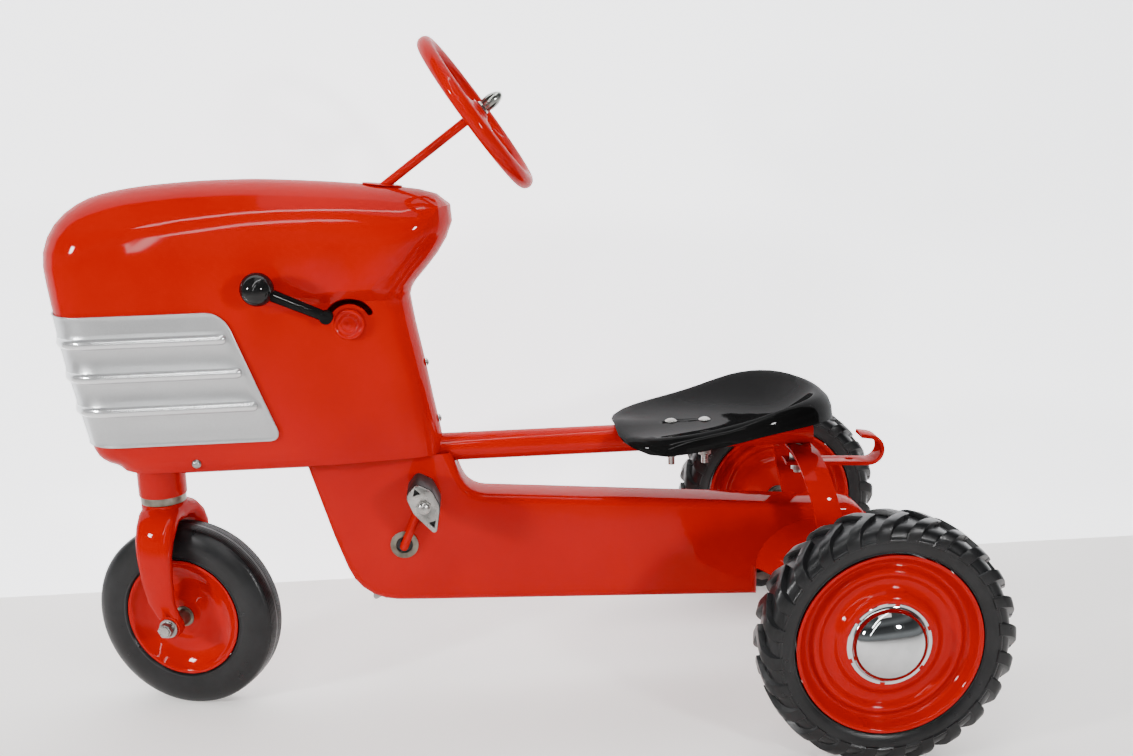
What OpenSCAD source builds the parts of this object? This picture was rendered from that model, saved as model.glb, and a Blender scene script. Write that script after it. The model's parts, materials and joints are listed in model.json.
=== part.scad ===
// Three-wheel pedal tractor: pressed hood on a tube backbone, chain case, pan seat, lugged rear tyres.
// Millimetres, +Z up, front towards -X. The origin is on the floor under the middle of the tractor.

/* [Overall] */
// Distance from the steering axis to the rear axle
wheelbase = 764; // [680:1:860]
// Distance between the middle planes of the rear wheels
track = 475; // [420:1:560]
// Height of the main tube's centre
tube_z = 289.2; // [282:0.1:330]
// Outer diameter of the main tube
tube_d = 31.8; // [26:0.1:36]
// Wall of the main tube
tube_wall = 2; // [1.5:0.1:4]

/* [Hood] */
// Length of the hood from the nose to the rear bulge
hood_len = 442.5; // [380:0.5:520]
// Height of the hood shell
hood_h = 313.2; // [270:0.5:370]
// Width of the hood
hood_w = 120; // [110:1:144]
// Thickness of the pressed sheet
sheet = 1.6; // [1.2:0.1:2.4]
// How far a grille rib stands out
rib_h = 4.2; // [2:0.1:6]

/* [Steering] */
// Angle of the steering column above level
column_tilt = 35.9; // [33:0.1:39]
// Outer diameter of the steering wheel
wheel_d = 197; // [170:1:240]
// Diameter of the steering rod
rod_d = 10; // [9:0.1:13]
// How far the rim stands askew on its hub, in degrees
wheel_skew = 3.5; // [0:0.5:5]
// Radius from the steering axis at which the pin works in the slotted arm
arm_r = 48; // [44:0.5:52]
// Diameter of the pin at the end of the steering rod
pin_d = 9; // [7:0.1:10]
// Angle of the front wheel at rest, negative to the tractor's right
steer_at_rest = -17.5; // [-30:0.5:30]

/* [Wheels] */
// Rear tyre diameter over the lugs
rear_d = 266; // [250:0.1:300]
// Rear rim diameter
rear_rim_d = 192; // [175:1:205]
// Rear tyre width
rear_w = 50; // [42:1:58]
// Number of lugs round a rear tyre
lugs = 24; // [18:2:30]
// Height of a lug
lug_h = 6; // [3:0.5:8]
// Width of a lug
lug_w = 9; // [6:0.5:11]
// Slant of a lug's two arms to the wheel's axis
lug_slant = 45; // [20:1:50]
// Front tyre diameter
front_d = 216; // [190:0.1:228]
// Front rim diameter
front_rim_d = 137.4; // [120:0.1:150]
// Front tyre width
front_w = 44; // [36:1:48]
// Distance of the front axle behind the steering axis
trail = 20; // [10:1:24]

/* [Drive] */
// Horizontal distance from the crank to the rear axle
crank_back = 493.5; // [460:0.5:520]
// Height of the crank
crank_z = 182.7; // [176:0.1:196]
// Length of a crank arm
crank_r = 70; // [55:0.5:76]
// Diameter of the crank rod
crank_d = 9.5; // [8:0.1:11]
// Width of the chain case
case_w = 52; // [46:1:60]
// Teeth on the front sprocket
front_teeth = 18; // [16:1:20]
// Teeth on the rear sprocket
rear_teeth = 14; // [12:1:16]
// Chain pitch
pitch = 12.7; // [12:0.1:13.5]
// Diameter of the rear axle
axle_d = 12.7; // [10:0.1:14]
// Length of a pedal block
pedal_len = 50; // [40:1:60]

/* [Seat] */
// Length of the seat pan
seat_len = 252; // [210:1:290]
// Widest part of the seat pan
seat_w = 220; // [190:1:260]
// Height of the seat's back above its floor
seat_h = 39; // [30:1:50]

/* [Lever] */
// Distance from the lever's pivot to the middle of its ball
lever_r = 101; // [85:1:115]
// Diameter of the ball knob
knob_d = 35.5; // [28:0.5:44]

/* [Fits] */
// Radial running clearance of a shaft in its bush
run = 0.05; // [0.03:0.01:0.1]
// Gap between pieces that lie side by side
gap = 0.3; // [0.2:0.05:0.5]

/* [Hidden] */
$fn = 64;
e = 0.01;
lug_step = 360 / lugs;
lug_start = 8.2;
axle_z = rear_d / 2;
nose_over = 99.5;
rear_x = (wheelbase + nose_over + 0.3 - axle_z) / 2;
king_x = rear_x - wheelbase;
base_z = tube_z - 1.5;
tube_r = tube_d / 2;
half_w = hood_w / 2;
nose_x = king_x - nose_over;
crank_x = rear_x - crank_back;
half_case = case_w / 2;
rod_r = rod_d / 2;
pin_r = pin_d / 2;
axle_r = axle_d / 2;
crank_rod_r = crank_d / 2;
front_z = front_d / 2;

red = "#c81a10";
dark_red = "#a81410";
black = "#191919";
rubber = "#242424";
bright = "#d4d6d8";
dull = "#8d8a84";
silver = "#b9bcc0";

// Small helpers.

function mix(a, b, t) = a + (b - a) * t;
function clamp(v) = min(1, max(0, v));
function ease(v) = let (u = clamp(v)) u * u * (3 - 2 * u);
function soft_min(a, b, k) = let (h = clamp(0.5 + (b - a) / (2 * k))) mix(b, a, h) - k * h * (1 - h);

// Point on the curve through p[1] and p[2], a share t of the way.
function curve(p, t) = 0.5 * (2 * p[1] + (p[2] - p[0]) * t
    + (2 * p[0] - 5 * p[1] + 4 * p[2] - p[3]) * t * t
    + (3 * p[1] - p[0] - 3 * p[2] + p[3]) * t * t * t);

// Smooth line through the points of P, n steps between two neighbours.
function through(P, n) = let (m = len(P) - 1) [
    for (i = [0:m - 1], k = [0:n - 1])
        curve([P[max(0, i - 1)], P[i], P[i + 1], P[min(m, i + 2)]], k / n),
    P[m]];

// Running length at each point of a line.
function lengths(P, i = 0, s = 0, out = []) = i == len(P) ? out
    : let (t = i == 0 ? 0 : s + norm(P[i] - P[i - 1])) lengths(P, i + 1, t, concat(out, [t]));

// Point at the running length s, with L from lengths(P).
function at_length(P, L, s) = let (
    c = [for (i = [1:len(P) - 1]) if (L[i] >= s || i == len(P) - 1) i],
    i = c[0],
    t = (s - L[i - 1]) / (L[i] - L[i - 1])) mix(P[i - 1], P[i], t);

// Running length at which a line that climbs first reaches the height z.
function length_at(P, L, z) = let (
    c = [for (i = [1:len(P) - 1]) if (P[i].y >= z) i],
    i = c[0],
    t = (z - P[i - 1].y) / (P[i].y - P[i - 1].y)) mix(L[i - 1], L[i], clamp(t));

// Distance from p to the line from a to b.
function to_line(p, a, b) = let (
    d = b - a,
    t = clamp(((p - a) * d) / (d * d))) norm(p - a - d * t);
function to_curve(p, P) = min([for (i = [1:len(P) - 1]) to_line(p, P[i - 1], P[i])]);

// Faces of a closed skin: rings of points, each ring going round the same way.
function ring_faces(rows, cols, first, flip) = [
    for (i = [0:rows - 2], j = [0:cols - 1]) let (
        a = first + i * cols + j,
        b = first + i * cols + (j + 1) % cols,
        c = b + cols,
        d = a + cols)
        each (flip ? [[a, c, b], [a, d, c]] : [[a, b, c], [a, c, d]])];

// Faces that close a ring which mirrors across the middle plane, point 0 at one end of the mirror.
function mirror_cap(cols, first, flip) = let (h = cols / 2) [
    for (j = [0:h - 1]) let (
        a = first + j,
        b = first + j + 1,
        c = first + (cols - j - 1) % cols,
        d = first + (cols - j) % cols)
        each concat(
            j == h - 1 ? [] : [flip ? [a, c, b] : [a, b, c]],
            j == 0 ? [] : [flip ? [a, d, c] : [a, c, d]])];

// Triangles that fill a flat outline P that runs anticlockwise, one corner cut off at a time.
function turn_of(a, b, c) = (b.x - a.x) * (c.y - a.y) - (b.y - a.y) * (c.x - a.x);
function holds(a, b, c, p) = turn_of(a, b, p) >= 0 && turn_of(b, c, p) >= 0 && turn_of(c, a, p) >= 0;
function can_cut(P, I, k) = let (
    n = len(I),
    a = I[(k + n - 1) % n],
    b = I[k],
    c = I[(k + 1) % n])
    turn_of(P[a], P[b], P[c]) > 0.01
    && len([for (i = I) if (i != a && i != b && i != c && holds(P[a], P[b], P[c], P[i])) i]) == 0;
function cut_corners(P, I) = len(I) == 3 ? [I] : let (
    n = len(I),
    k = [for (k = [0:n - 1]) if (can_cut(P, I, k)) k][0])
    concat([[I[(k + n - 1) % n], I[k], I[(k + 1) % n]]],
        cut_corners(P, [for (i = [0:n - 1]) if (i != k) I[i]]));

// Sheet of thickness t that follows a path of flat points, as one outline.
function side_of(P, i) = let (
    a = P[max(0, i - 1)],
    b = P[min(len(P) - 1, i + 1)],
    d = (b - a) / norm(b - a)) [-d.y, d.x];
function sheet_outline(P, t) = concat(
    [for (i = [0:len(P) - 1]) P[i] + side_of(P, i) * t / 2],
    [for (i = [len(P) - 1:-1:0]) P[i] - side_of(P, i) * t / 2]);

// Flat corners [x, y, radius] as an outline with round corners, n steps each.
function round_corner(a, b, c, r, n) = let (
    u = (a - b) / norm(a - b),
    v = (c - b) / norm(c - b),
    half = acos(max(-1, min(1, u * v))) / 2,
    m = (u + v) / norm(u + v),
    o = b + m * r / sin(half),
    s = b + u * r / tan(half) - o,
    f = b + v * r / tan(half) - o,
    a0 = atan2(s.y, s.x),
    a1 = atan2(f.y, f.x),
    turn = ((a1 - a0 + 540) % 360) - 180)
    [for (k = [0:n]) o + r * [cos(a0 + turn * k / n), sin(a0 + turn * k / n)]];
function rounded(C, n) = let (m = len(C)) [
    for (i = [0:m - 1]) let (
        a = C[(i + m - 1) % m],
        b = C[i],
        c = C[(i + 1) % m])
        each (b.z == 0 ? [[b.x, b.y]]
            : round_corner([a.x, a.y], [b.x, b.y], [c.x, c.y], b.z, n))];

// Puts a shape that was drawn round +Z on to an axis along +Y.
module along_y() { rotate([-90, 0, 0]) children(); }

// Hood shell.

// Side outline of the hood, front and rear, from the bottom edge to the crown.
function hood_point(p) = [nose_x + p.x * hood_len / 442.5, base_z + p.y * hood_h / 313.2];
front_line = through([for (p = [[60, 0], [47, 5], [37, 13], [31, 27], [22, 72], [12, 125], [5, 178],
    [0.5, 214], [0, 235], [4, 253], [12, 268], [22, 280], [37, 291], [62, 301.5], [107, 309],
    [165, 312.7], [205, 313.2]]) hood_point(p)], 4);
rear_line = through([for (p = [[419.5, 0], [418, 22], [411, 62], [403.5, 108], [396.5, 145],
    [392.5, 172], [392, 184], [399, 197], [419, 219], [435, 243], [442, 262], [442.5, 272], [438, 282],
    [425, 291], [395, 298], [309, 307.5], [240, 312.4], [205, 313.2]]) hood_point(p)], 4);
front_len = lengths(front_line);
rear_len = lengths(rear_line);

waist_z = base_z + hood_h * 0.578;
bulge_z = base_z + hood_h * 0.624;

// Half width of the side at a point, before the edges are rounded.
function front_side(z) = half_w - 8 * pow(1 - clamp((z - base_z) / (0.51 * hood_h)), 2)
    - 5 * pow(1 - clamp((z - base_z) / 12), 2);
function pedestal_side(p) = half_case + 4.4 + 0.1446 * (rear_line[0].x - p.x)
    + 0.0126 * (p.y - base_z);
function side_at(p) = mix(soft_min(front_side(p.y), pedestal_side(p), 2), half_w,
    ease((p.y - waist_z) / (bulge_z - waist_z)));

// Radius of the rounding at the edge of the side outline.
function edge_r(p) = mix(mix(42, 50, ease((p.y - waist_z) / 30)),
    mix(22, 50, ease((p.y - waist_z) / 14)), ease((p.x - nose_x - 98) / 200));

// Half width of the skin at a point of the side view, w inside the outer skin.
function skin(p, w) = let (
    r = edge_r(p) - w,
    d = min(to_curve(p, front_line), to_curve(p, rear_line)) - w,
    u = 1 - clamp(d / r)) (side_at(p) - w) * sqrt(max(0, 1 - u * u));

// Rows of the skin: pairs of a front and a rear point, from the bottom edge to the crown.
low_z = [for (t = [0, 4, 9, 15, 24, 40, 62, 90, 120, 150, 172]) base_z + t * hood_h / 313.2];
row_z = concat(low_z, [waist_z, mix(waist_z, bulge_z, 0.5), bulge_z]);
up_steps = 22;
row_len = concat(
    [for (z = row_z) [length_at(front_line, front_len, z), length_at(rear_line, rear_len, z)]],
    [for (k = [1:up_steps]) let (
        a = length_at(front_line, front_len, bulge_z),
        b = length_at(rear_line, rear_len, bulge_z),
        v = 0.98 * mix(k / up_steps, sin(90 * k / up_steps), 0.55))
        [mix(a, front_len[len(front_len) - 1], v), mix(b, rear_len[len(rear_len) - 1], v)]]);

// End of a row, moved inward by w.
function row_end(P, L, s, w, sign) = let (
    p = at_length(P, L, s),
    a = at_length(P, L, max(0, s - 1)),
    b = at_length(P, L, s + 1),
    t = (b - a) / norm(b - a)) s == 0 ? [p.x + sign * w, p.y] : p + sign * w * [t.y, -t.x];

across = 18;
function skin_ring(i, w) = let (
    f = row_end(front_line, front_len, row_len[i].x, w, 1),
    r = row_end(rear_line, rear_len, row_len[i].y, w, -1),
    P = [for (j = [0:across]) mix(f, r, (1 - cos(180 * j / across)) / 2)],
    H = [for (j = [0:across]) j == 0 || j == across ? 0 : skin(P[j], w)])
    concat([for (j = [0:across]) [P[j].x, -H[j], P[j].y]],
        [for (j = [across - 1:-1:1]) [P[j].x, H[j], P[j].y]]);

module hood_skin() {
    rows = len(row_len);
    cols = 2 * across;
    outer = [for (i = [0:rows - 1]) each skin_ring(i, 0)];
    inner = [for (i = [0:rows - 1]) each skin_ring(i, sheet)];
    n = rows * cols;
    rim = [for (j = [0:cols - 1]) let (k = (j + 1) % cols) each [[j, k, n + k], [j, n + k, n + j]]];
    polyhedron(concat(outer, inner), concat(
        ring_faces(rows, cols, 0, true),
        mirror_cap(cols, (rows - 1) * cols, true),
        ring_faces(rows, cols, n, false),
        mirror_cap(cols, n + (rows - 1) * cols, false),
        rim));
}

// Steering column: a line through the wheel's hub.
col_dir = [cos(column_tilt), 0, sin(column_tilt)];
hub_at = [nose_x + hood_len + 30.3, 0, base_z + hood_h + 62.5];
grommet_at = hub_at - col_dir * 120.5;

// Puts a shape that was drawn round +Z on to the column, at p.
module on_column(p) { translate(p) rotate([0, 90 - column_tilt, 0]) children(); }

// Lever: its pivot on the left side of the pedestal, and the arc slot round it.
pivot_x = rear_line[0].x - 93.5;
pivot_z = base_z + 0.502 * hood_h;
lever_at = [pivot_x, -side_at([pivot_x, pivot_z]), pivot_z];
slot_r = 25;
slot_w = 6.6;
slot_from = 27;
slot_to = 153;

module slot_cut() {
    translate([pivot_x, lever_at.y - 12, pivot_z]) along_y() rotate([0, 0, -slot_to])
        rotate_extrude(angle = slot_to - slot_from)
            translate([slot_r - slot_w / 2, 0]) square([slot_w, 26]);
    for (a = [slot_from, slot_to])
        translate([pivot_x + slot_r * cos(a), lever_at.y - 12, pivot_z + slot_r * sin(a)])
            along_y() cylinder(d = slot_w, h = 26);
}

// Screws that hold the shell: [x, z] on the chin, and two on the back of the pedestal.
chin_screw = [nose_x + 151.5, base_z + 10.5];
back_screws = [36, 102];
function back_x(z) = at_length(rear_line, rear_len, length_at(rear_line, rear_len, z)).x;
function back_slope(z) = atan((back_x(z - 5) - back_x(z + 5)) / 10);

// Puts a shape on the pedestal's back at a height above the base, +Z going into the shell.
module on_back(z) {
    translate([back_x(base_z + z), 0, base_z + z]) rotate([0, -90 - back_slope(base_z + z), 0])
        children();
}

// Puts a shape on both sides of the chin, +Z going into the shell.
module on_chin() {
    for (s = [-1, 1]) translate([chin_screw.x, s * skin(chin_screw, 0), chin_screw.y])
        rotate([s * 90, 0, 0]) children();
}

module hood_shell() color(red) difference() {
    hood_skin();
    on_column(grommet_at - col_dir * 30) cylinder(r = 8 + 0.1, h = 60);
    slot_cut();
    translate([lever_at.x, lever_at.y - 12, lever_at.z]) along_y() cylinder(r = 3.1, h = 26);
    translate([rear_line[0].x - 40, 0, tube_z]) rotate([0, 90, 0]) cylinder(r = tube_r + 0.1, h = 60);
    for (z = back_screws) on_back(z) translate([0, 0, -8]) cylinder(r = 2.1, h = 16);
    on_chin() translate([0, 0, -8]) cylinder(r = 2.1, h = 16);
}

// Grille panel.

panel_low = base_z + hood_h * 0.106;
panel_high = base_z + hood_h * 0.569;
rib_z = [for (t = [0.237, 0.357, 0.476]) base_z + t * hood_h];
panel_back = nose_x + 243;

function front_x(z) = at_length(front_line, front_len, length_at(front_line, front_len, z)).x;

// Rear edge of the panel at a height, with its two round corners.
function corner(d, r) = d >= r ? 0 : r - sqrt(max(0, r * r - pow(r - d, 2)));
function panel_end(z) = panel_back - 0.36 * (z - panel_low - 11)
    - corner(z - panel_low, 13) - corner(panel_high - z, 18);

// Height of a rib above the plain panel.
function rib(z) = rib_h * max([for (c = rib_z) pow(cos(90 * clamp(abs(z - c) / 7.5)), 2)]);

panel_rows = concat([for (t = [0, 1.2, 3, 5, 9, 13]) panel_low + t],
    [for (c = rib_z, t = [-7.5, -4, 0, 4, 7.5]) c + t],
    [for (t = [18, 11, 6, 3, 1.2, 0]) panel_high - t]);
panel_turns = 7;
panel_flats = [0.06, 0.3, 0.6, 0.8, 0.88, 0.925, 0.965, 0.985, 1];

// Point of the panel: j counts from the nose backward, o is how far it stands off the skin.
function panel_point(z, j, top) = let (
    x0 = front_x(z),
    r = edge_r([x0, z]),
    x1 = panel_end(z),
    turn = j <= panel_turns,
    a = 90 * j / panel_turns,
    t = turn ? 0 : panel_flats[j - panel_turns - 1],
    bead = ease(1 - min(min(z - panel_low, panel_high - z), (1 - t) * (x1 - x0 - r)) / 3),
    fade = turn ? ease((a - 12) / 30) : ease((1 - t) * (x1 - x0 - r) / 7 - 1.2),
    o = top ? 1.4 + max(1.1 * bead, rib(z) * fade * (1 - bead)) : 0.4,
    d = (r + o) * (1 - cos(a)) - o,
    x = turn ? x0 + d * 1.015 : mix(x0 + r * 1.015, x1, t))
    [x, (turn ? sin(a) : 1) * (side_at([max(x, x0), z]) + o), z];

panel_m = panel_turns + len(panel_flats);
function panel_line(z, top) = concat(
    [for (j = [panel_m:-1:1]) let (p = panel_point(z, j, top)) [p.x, -p.y, p.z]],
    [for (j = [0:panel_m]) panel_point(z, j, top)]);

module grille_panel() color(silver) {
    cols = 2 * panel_m + 1;
    rows = len(panel_rows);
    n = rows * cols;
    P = concat([for (z = panel_rows) each panel_line(z, true)],
        [for (z = panel_rows) each panel_line(z, false)]);
    skin_faces = [for (i = [0:rows - 2], j = [0:cols - 2]) let (
        a = i * cols + j, b = a + 1, c = b + cols, d = a + cols)
        each [[a, b, c], [a, c, d], [n + a, n + c, n + b], [n + a, n + d, n + c]]];
    low = [for (j = [0:cols - 2]) each [[j, n + j + 1, j + 1], [j, n + j, n + j + 1]]];
    top0 = (rows - 1) * cols;
    high = [for (j = [0:cols - 2]) let (a = top0 + j)
        each [[a, a + 1, n + a + 1], [a, n + a + 1, n + a]]];
    ends = [for (i = [0:rows - 2]) let (a = i * cols, b = a + cols, c = a + cols - 1, d = c + cols)
        each [[a, b, n + b], [a, n + b, n + a], [c, n + d, d], [c, n + c, n + d]]];
    polyhedron(P, concat(skin_faces, low, high, ends));
}

// Steering column supports.

// Plate with a bush for the rod; it lies on the shell where the rod leaves it.
plate_tilt = 6.6;
module on_plate() { translate(grommet_at - [0, 0, 4.3]) rotate([0, plate_tilt, 0]) children(); }

module column_grommet() color(dark_red) difference() {
    union() {
        on_column(grommet_at) translate([0, 0, -22]) cylinder(r = 8, h = 36);
        on_plate() linear_extrude(1.2) polygon([for (q = [0:15:345]) [22 * cos(q) - 8, 13 * sin(q)]]);
    }
    on_plate() translate([-60, -60, 1.2]) cube([120, 120, 60]);
    on_column(grommet_at) translate([0, 0, -60]) cylinder(r = rod_r + run, h = 120);
}

// Point of the column above the place x.
function col_z(x) = hub_at.z + (x - hub_at.x) * tan(column_tilt);
bracket_x = king_x + 99;

module column_bracket() color(dark_red) difference() {
    union() {
        translate([bracket_x - 2.5, -16, tube_z]) cube([5, 32, col_z(bracket_x) - tube_z]);
        on_column([bracket_x, 0, col_z(bracket_x)]) translate([0, 0, -12])
            cylinder(r = rod_r + 6, h = 24);
    }
    on_column([bracket_x, 0, col_z(bracket_x)]) translate([0, 0, -40])
        cylinder(r = rod_r + run, h = 80);
    translate([bracket_x - 20, 0, tube_z]) rotate([0, 90, 0]) cylinder(r = tube_r + 0.05, h = 40);
}

// Backbone.

head_r = 26.5;
head_low = base_z - 37;
head_high = base_z + 41;
stem_r = 10;
tube_end = rear_x - 16;
strap_x = rear_x - 31;

module main_tube() color(red) difference() {
    translate([king_x, 0, tube_z]) rotate([0, 90, 0]) cylinder(r = tube_r, h = tube_end - king_x);
    translate([king_x - 1, 0, tube_z]) rotate([0, 90, 0])
        cylinder(r = tube_r - tube_wall, h = tube_end - king_x + 2);
    translate([king_x, 0, head_low]) cylinder(r = head_r + 0.05, h = head_high - head_low);
    for (x = concat(seat_bolt_x, [strap_x])) translate([x, 0, tube_z - 30]) cylinder(r = 4.1, h = 60);
}

module head_tube() color(red) difference() {
    translate([king_x, 0, head_low]) cylinder(r = head_r, h = head_high - head_low);
    translate([king_x, 0, head_low - 1]) cylinder(r = head_r - 3, h = head_high - head_low + 2);
}

module head_bushes() color(dull) for (z = [head_low, head_high - 14]) difference() {
    translate([king_x, 0, z]) cylinder(r = head_r - 3.05, h = 14);
    translate([king_x, 0, z - 1]) cylinder(r = stem_r + run, h = 16);
}

collar_h = 9;
crown_top = head_low - collar_h - gap;

module head_collar() color(dull) difference() {
    translate([king_x, 0, head_low - collar_h]) cylinder(r = head_r - 1.5, h = collar_h);
    translate([king_x, 0, head_low - collar_h - 1]) cylinder(r = stem_r + 0.3, h = collar_h + 2);
}

// Round-head screws: one each side of the chin and two on the pedestal's back.
module screw(r) {
    translate([0, 0, -0.6]) cylinder(r = 2, h = 8);
    translate([0, 0, -0.5]) intersection() {
        translate([0, 0, -r]) cylinder(r = r, h = r);
        translate([0, 0, r * 0.55]) sphere(r = r * 1.2);
    }
}

module body_screws() color(bright) {
    on_chin() screw(5);
    for (z = back_screws) on_back(z) screw(4.5);
}

// Chain case.

// Corners of the case in side view: [x, z, corner radius].
case_corners = [
    [crank_x - 112, base_z + 20, 0],
    [crank_x - 79, crank_z + 10, 60],
    [crank_x - 53, crank_z - 67, 62],
    [mix(crank_x, rear_x, 0.05), crank_z - 71, 24],
    [rear_x - 83, axle_z - 37, 0],
    [rear_x - 83, axle_z - 6, 0],
    [rear_x + 50, axle_z - 6, 0],
    [rear_x + 50, axle_z + 69, 30],
    [rear_x - 12, axle_z + 72, 60],
    [crank_x + 76, crank_z + 56, 30],
    [crank_x + 50, base_z + 20, 0]];
case_line = rounded(case_corners, 5);
case_edge = 9;

function inward(P, i) = let (
    m = len(P),
    a = P[(i + m - 1) % m],
    b = P[i],
    c = P[(i + 1) % m],
    u = (b - a) / norm(b - a),
    v = (c - b) / norm(c - b),
    k = ([-u.y, u.x] + [-v.y, v.x])) k / (1 + u * v);

// Ring of the pressing, an angle a round its edge, w inside the outer face.
function case_ring(a, w) = let (r = case_edge - w) [
    for (i = [0:len(case_line) - 1]) let (
        p = case_line[i] + inward(case_line, i) * (w + r * (1 - cos(a))))
        [p.x, a < 0 ? 0 : half_case - case_edge + r * sin(a), p.y]];
function case_ring0(w) = [for (i = [0:len(case_line) - 1]) let (
    p = case_line[i] + inward(case_line, i) * w) [p.x, 0, p.y]];

case_sheet = 1.6;
module case_skin() {
    angles = [0, 22.5, 45, 67.5, 90];
    m = len(case_line);
    rows = len(angles) + 1;
    outer = concat(case_ring0(0), [for (a = angles) each case_ring(a, 0)]);
    inner = concat(case_ring0(case_sheet), [for (a = angles) each case_ring(a, case_sheet)]);
    n = rows * m;
    rim = [for (j = [0:m - 1]) let (k = (j + 1) % m) each [[j, n + k, k], [j, n + j, n + k]]];
    polyhedron(concat(outer, inner), concat(
        ring_faces(rows, m, 0, false),
        [for (t = cut_corners(case_line, [for (j = [0:m - 1]) j])) t + (rows - 1) * m * [1, 1, 1]],
        ring_faces(rows, m, n, true),
        [for (t = cut_corners(case_line, [for (j = [0:m - 1]) j]))
            [t.z, t.y, t.x] + (n + (rows - 1) * m) * [1, 1, 1]],
        rim));
}

race_r = 16;
race_in = 9.4;

// One pressing of the case on the right side; the left is its mirror.
module case_half() difference() {
    case_skin();
    translate([crank_x - 200, -1, base_z]) cube([400, case_w, 60]);
    translate([crank_x - 200, 0, tube_z]) rotate([0, 90, 0]) cylinder(r = tube_r + 0.15, h = 400);
    translate([rear_x - 90, -1, axle_z - 60]) cube([128, half_case - case_edge + 0.9, 62]);
    translate([crank_x, -1, crank_z]) along_y() cylinder(r = race_r - 3, h = case_w);
    translate([rear_x, -1, axle_z]) along_y() cylinder(r = axle_r + 8, h = case_w);
}

module case_right() color(red) case_half();
module case_left() color(red) mirror([0, 1, 0]) case_half();

// Bearing ring on each side of the case, with a bush for the crank inside it.
module both_sides() { children(); mirror([0, 1, 0]) children(); }

module crank_races() color(dull) both_sides() translate([crank_x, 0, crank_z]) along_y() difference() {
    union() {
        translate([0, 0, half_case]) cylinder(r = race_r, h = 2.2);
        translate([0, 0, half_case - 8]) cylinder(r = race_r - 3.1, h = 9);
    }
    translate([0, 0, half_case - 10]) cylinder(r = race_in, h = 20);
}

module crank_bushes() color(black) both_sides() translate([crank_x, 0, crank_z]) along_y() difference() {
    translate([0, 0, half_case - 8]) cylinder(r = race_in - 0.05, h = 8);
    translate([0, 0, half_case - 9]) cylinder(r = crank_rod_r + run, h = 10);
}

// Rear frame.

// Half-round axle housing that tapers from the case to its bearing.
leg_y = 89.5;
strap_t = 5;
house_end = leg_y - strap_t / 2 - 0.1;
house_steps = 5;
house_arc = 20;
function house_ring(k, w) = let (
    t = k / house_steps,
    y = mix(half_case + 0.1, house_end, t),
    a = mix(86, 59, pow(t, 0.9)) - w,
    b = mix(61, 45, pow(t, 0.9)) - w)
    [for (i = [0:house_arc]) let (q = 180 * i / house_arc)
        [rear_x + a * cos(q), y, axle_z - 2 + b * sin(q)]];

module housing() {
    m = 2 * (house_arc + 1);
    rings = [for (k = [0:house_steps]) each concat(house_ring(k, 0),
        [for (i = [house_arc:-1:0]) house_ring(k, 2)[i]])];
    n = house_steps * m;
    h = house_arc;
    ends = [for (i = [0:h - 1]) let (j = m - 1 - i)
        each [[i, j - 1, i + 1], [i, j, j - 1], [n + i, n + i + 1, n + j - 1], [n + i, n + j - 1, n + j]]];
    polyhedron(rings, concat(ring_faces(house_steps + 1, m, 0, false), ends));
}

module housing_right() color(red) housing();
module housing_left() color(red) mirror([0, 1, 0]) housing();

bearing_r = 9.9;
leg_out = leg_y + strap_t / 2;
module axle_bearings() color(dull) both_sides() translate([rear_x, 0, axle_z]) along_y() difference() {
    union() {
        translate([0, 0, leg_out - 9]) cylinder(r = bearing_r, h = 11);
        translate([0, 0, leg_out + 0.05]) cylinder(r = 15, h = 2.5);
    }
    translate([0, 0, leg_out - 20]) cylinder(r = axle_r + run, h = 40);
}

// Flat bar bent over the axle: crown under the tube, legs leaning back down to the axle.
strap_w = 30;
bend_r = 58;
crown_z = tube_z - tube_r - strap_t / 2 - 0.05;
function lean(z) = strap_x + (crown_z - z) * 0.225;
strap_path = concat(
    [for (y = [-6, -31.5]) [y, crown_z]],
    [for (k = [1:9]) let (q = 90 * k / 9)
        [-31.5 - bend_r * sin(q), crown_z - bend_r * (1 - cos(q))]],
    [[-leg_y, axle_z + 60], [-leg_y, axle_z - 22]]);
strap_line = concat([for (i = [len(strap_path) - 1:-1:0]) strap_path[i]],
    [for (p = strap_path) [-p.x, p.y]]);

module strap_solid() {
    outer = [for (i = [0:len(strap_line) - 1]) strap_line[i] + side_of(strap_line, i) * strap_t / 2];
    inner = [for (i = [0:len(strap_line) - 1]) strap_line[i] - side_of(strap_line, i) * strap_t / 2];
    P = [for (i = [0:len(strap_line) - 1]) let (o = outer[i], n = inner[i],
        xo = lean(min(o.y, crown_z)), xn = lean(min(n.y, crown_z)))
        each [[xo - strap_w / 2, o.x, o.y], [xo + strap_w / 2, o.x, o.y],
            [xn + strap_w / 2, n.x, n.y], [xn - strap_w / 2, n.x, n.y]]];
    m = len(strap_line);
    polyhedron(P, concat(ring_faces(m, 4, 0, true), [[0, 1, 2, 3],
        [4 * m - 1, 4 * m - 2, 4 * m - 3, 4 * m - 4]]));
}

module arch_strap() color(red) difference() {
    strap_solid();
    translate([rear_x, -120, axle_z]) along_y() cylinder(r = bearing_r + 0.05, h = 240);
    translate([strap_x, 0, crown_z - 20]) cylinder(r = 4.1, h = 40);
}

// Hitch strap: a level leg under the crown, a round bend at the rear and a short return.
hitch_t = 4.5;
hitch_w = 26;
hitch_z = crown_z - 19;
hitch_drop = 3;
hitch_len = 82;
hitch_bend = 16;
pin_hole = [62, 5];

hitch_path = concat([[-16, 0], [hitch_len, 0]],
    [for (k = [1:12]) let (q = 14.5 * k)
        [hitch_len + hitch_bend * sin(q), hitch_bend * (1 - cos(q))]],
    [[hitch_len + hitch_bend * sin(174) + 12 * cos(174), hitch_bend * (1 - cos(174)) + 12 * sin(174)]]);

module hitch_frame() { translate([strap_x, 0, hitch_z]) rotate([0, hitch_drop, 0]) children(); }

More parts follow.
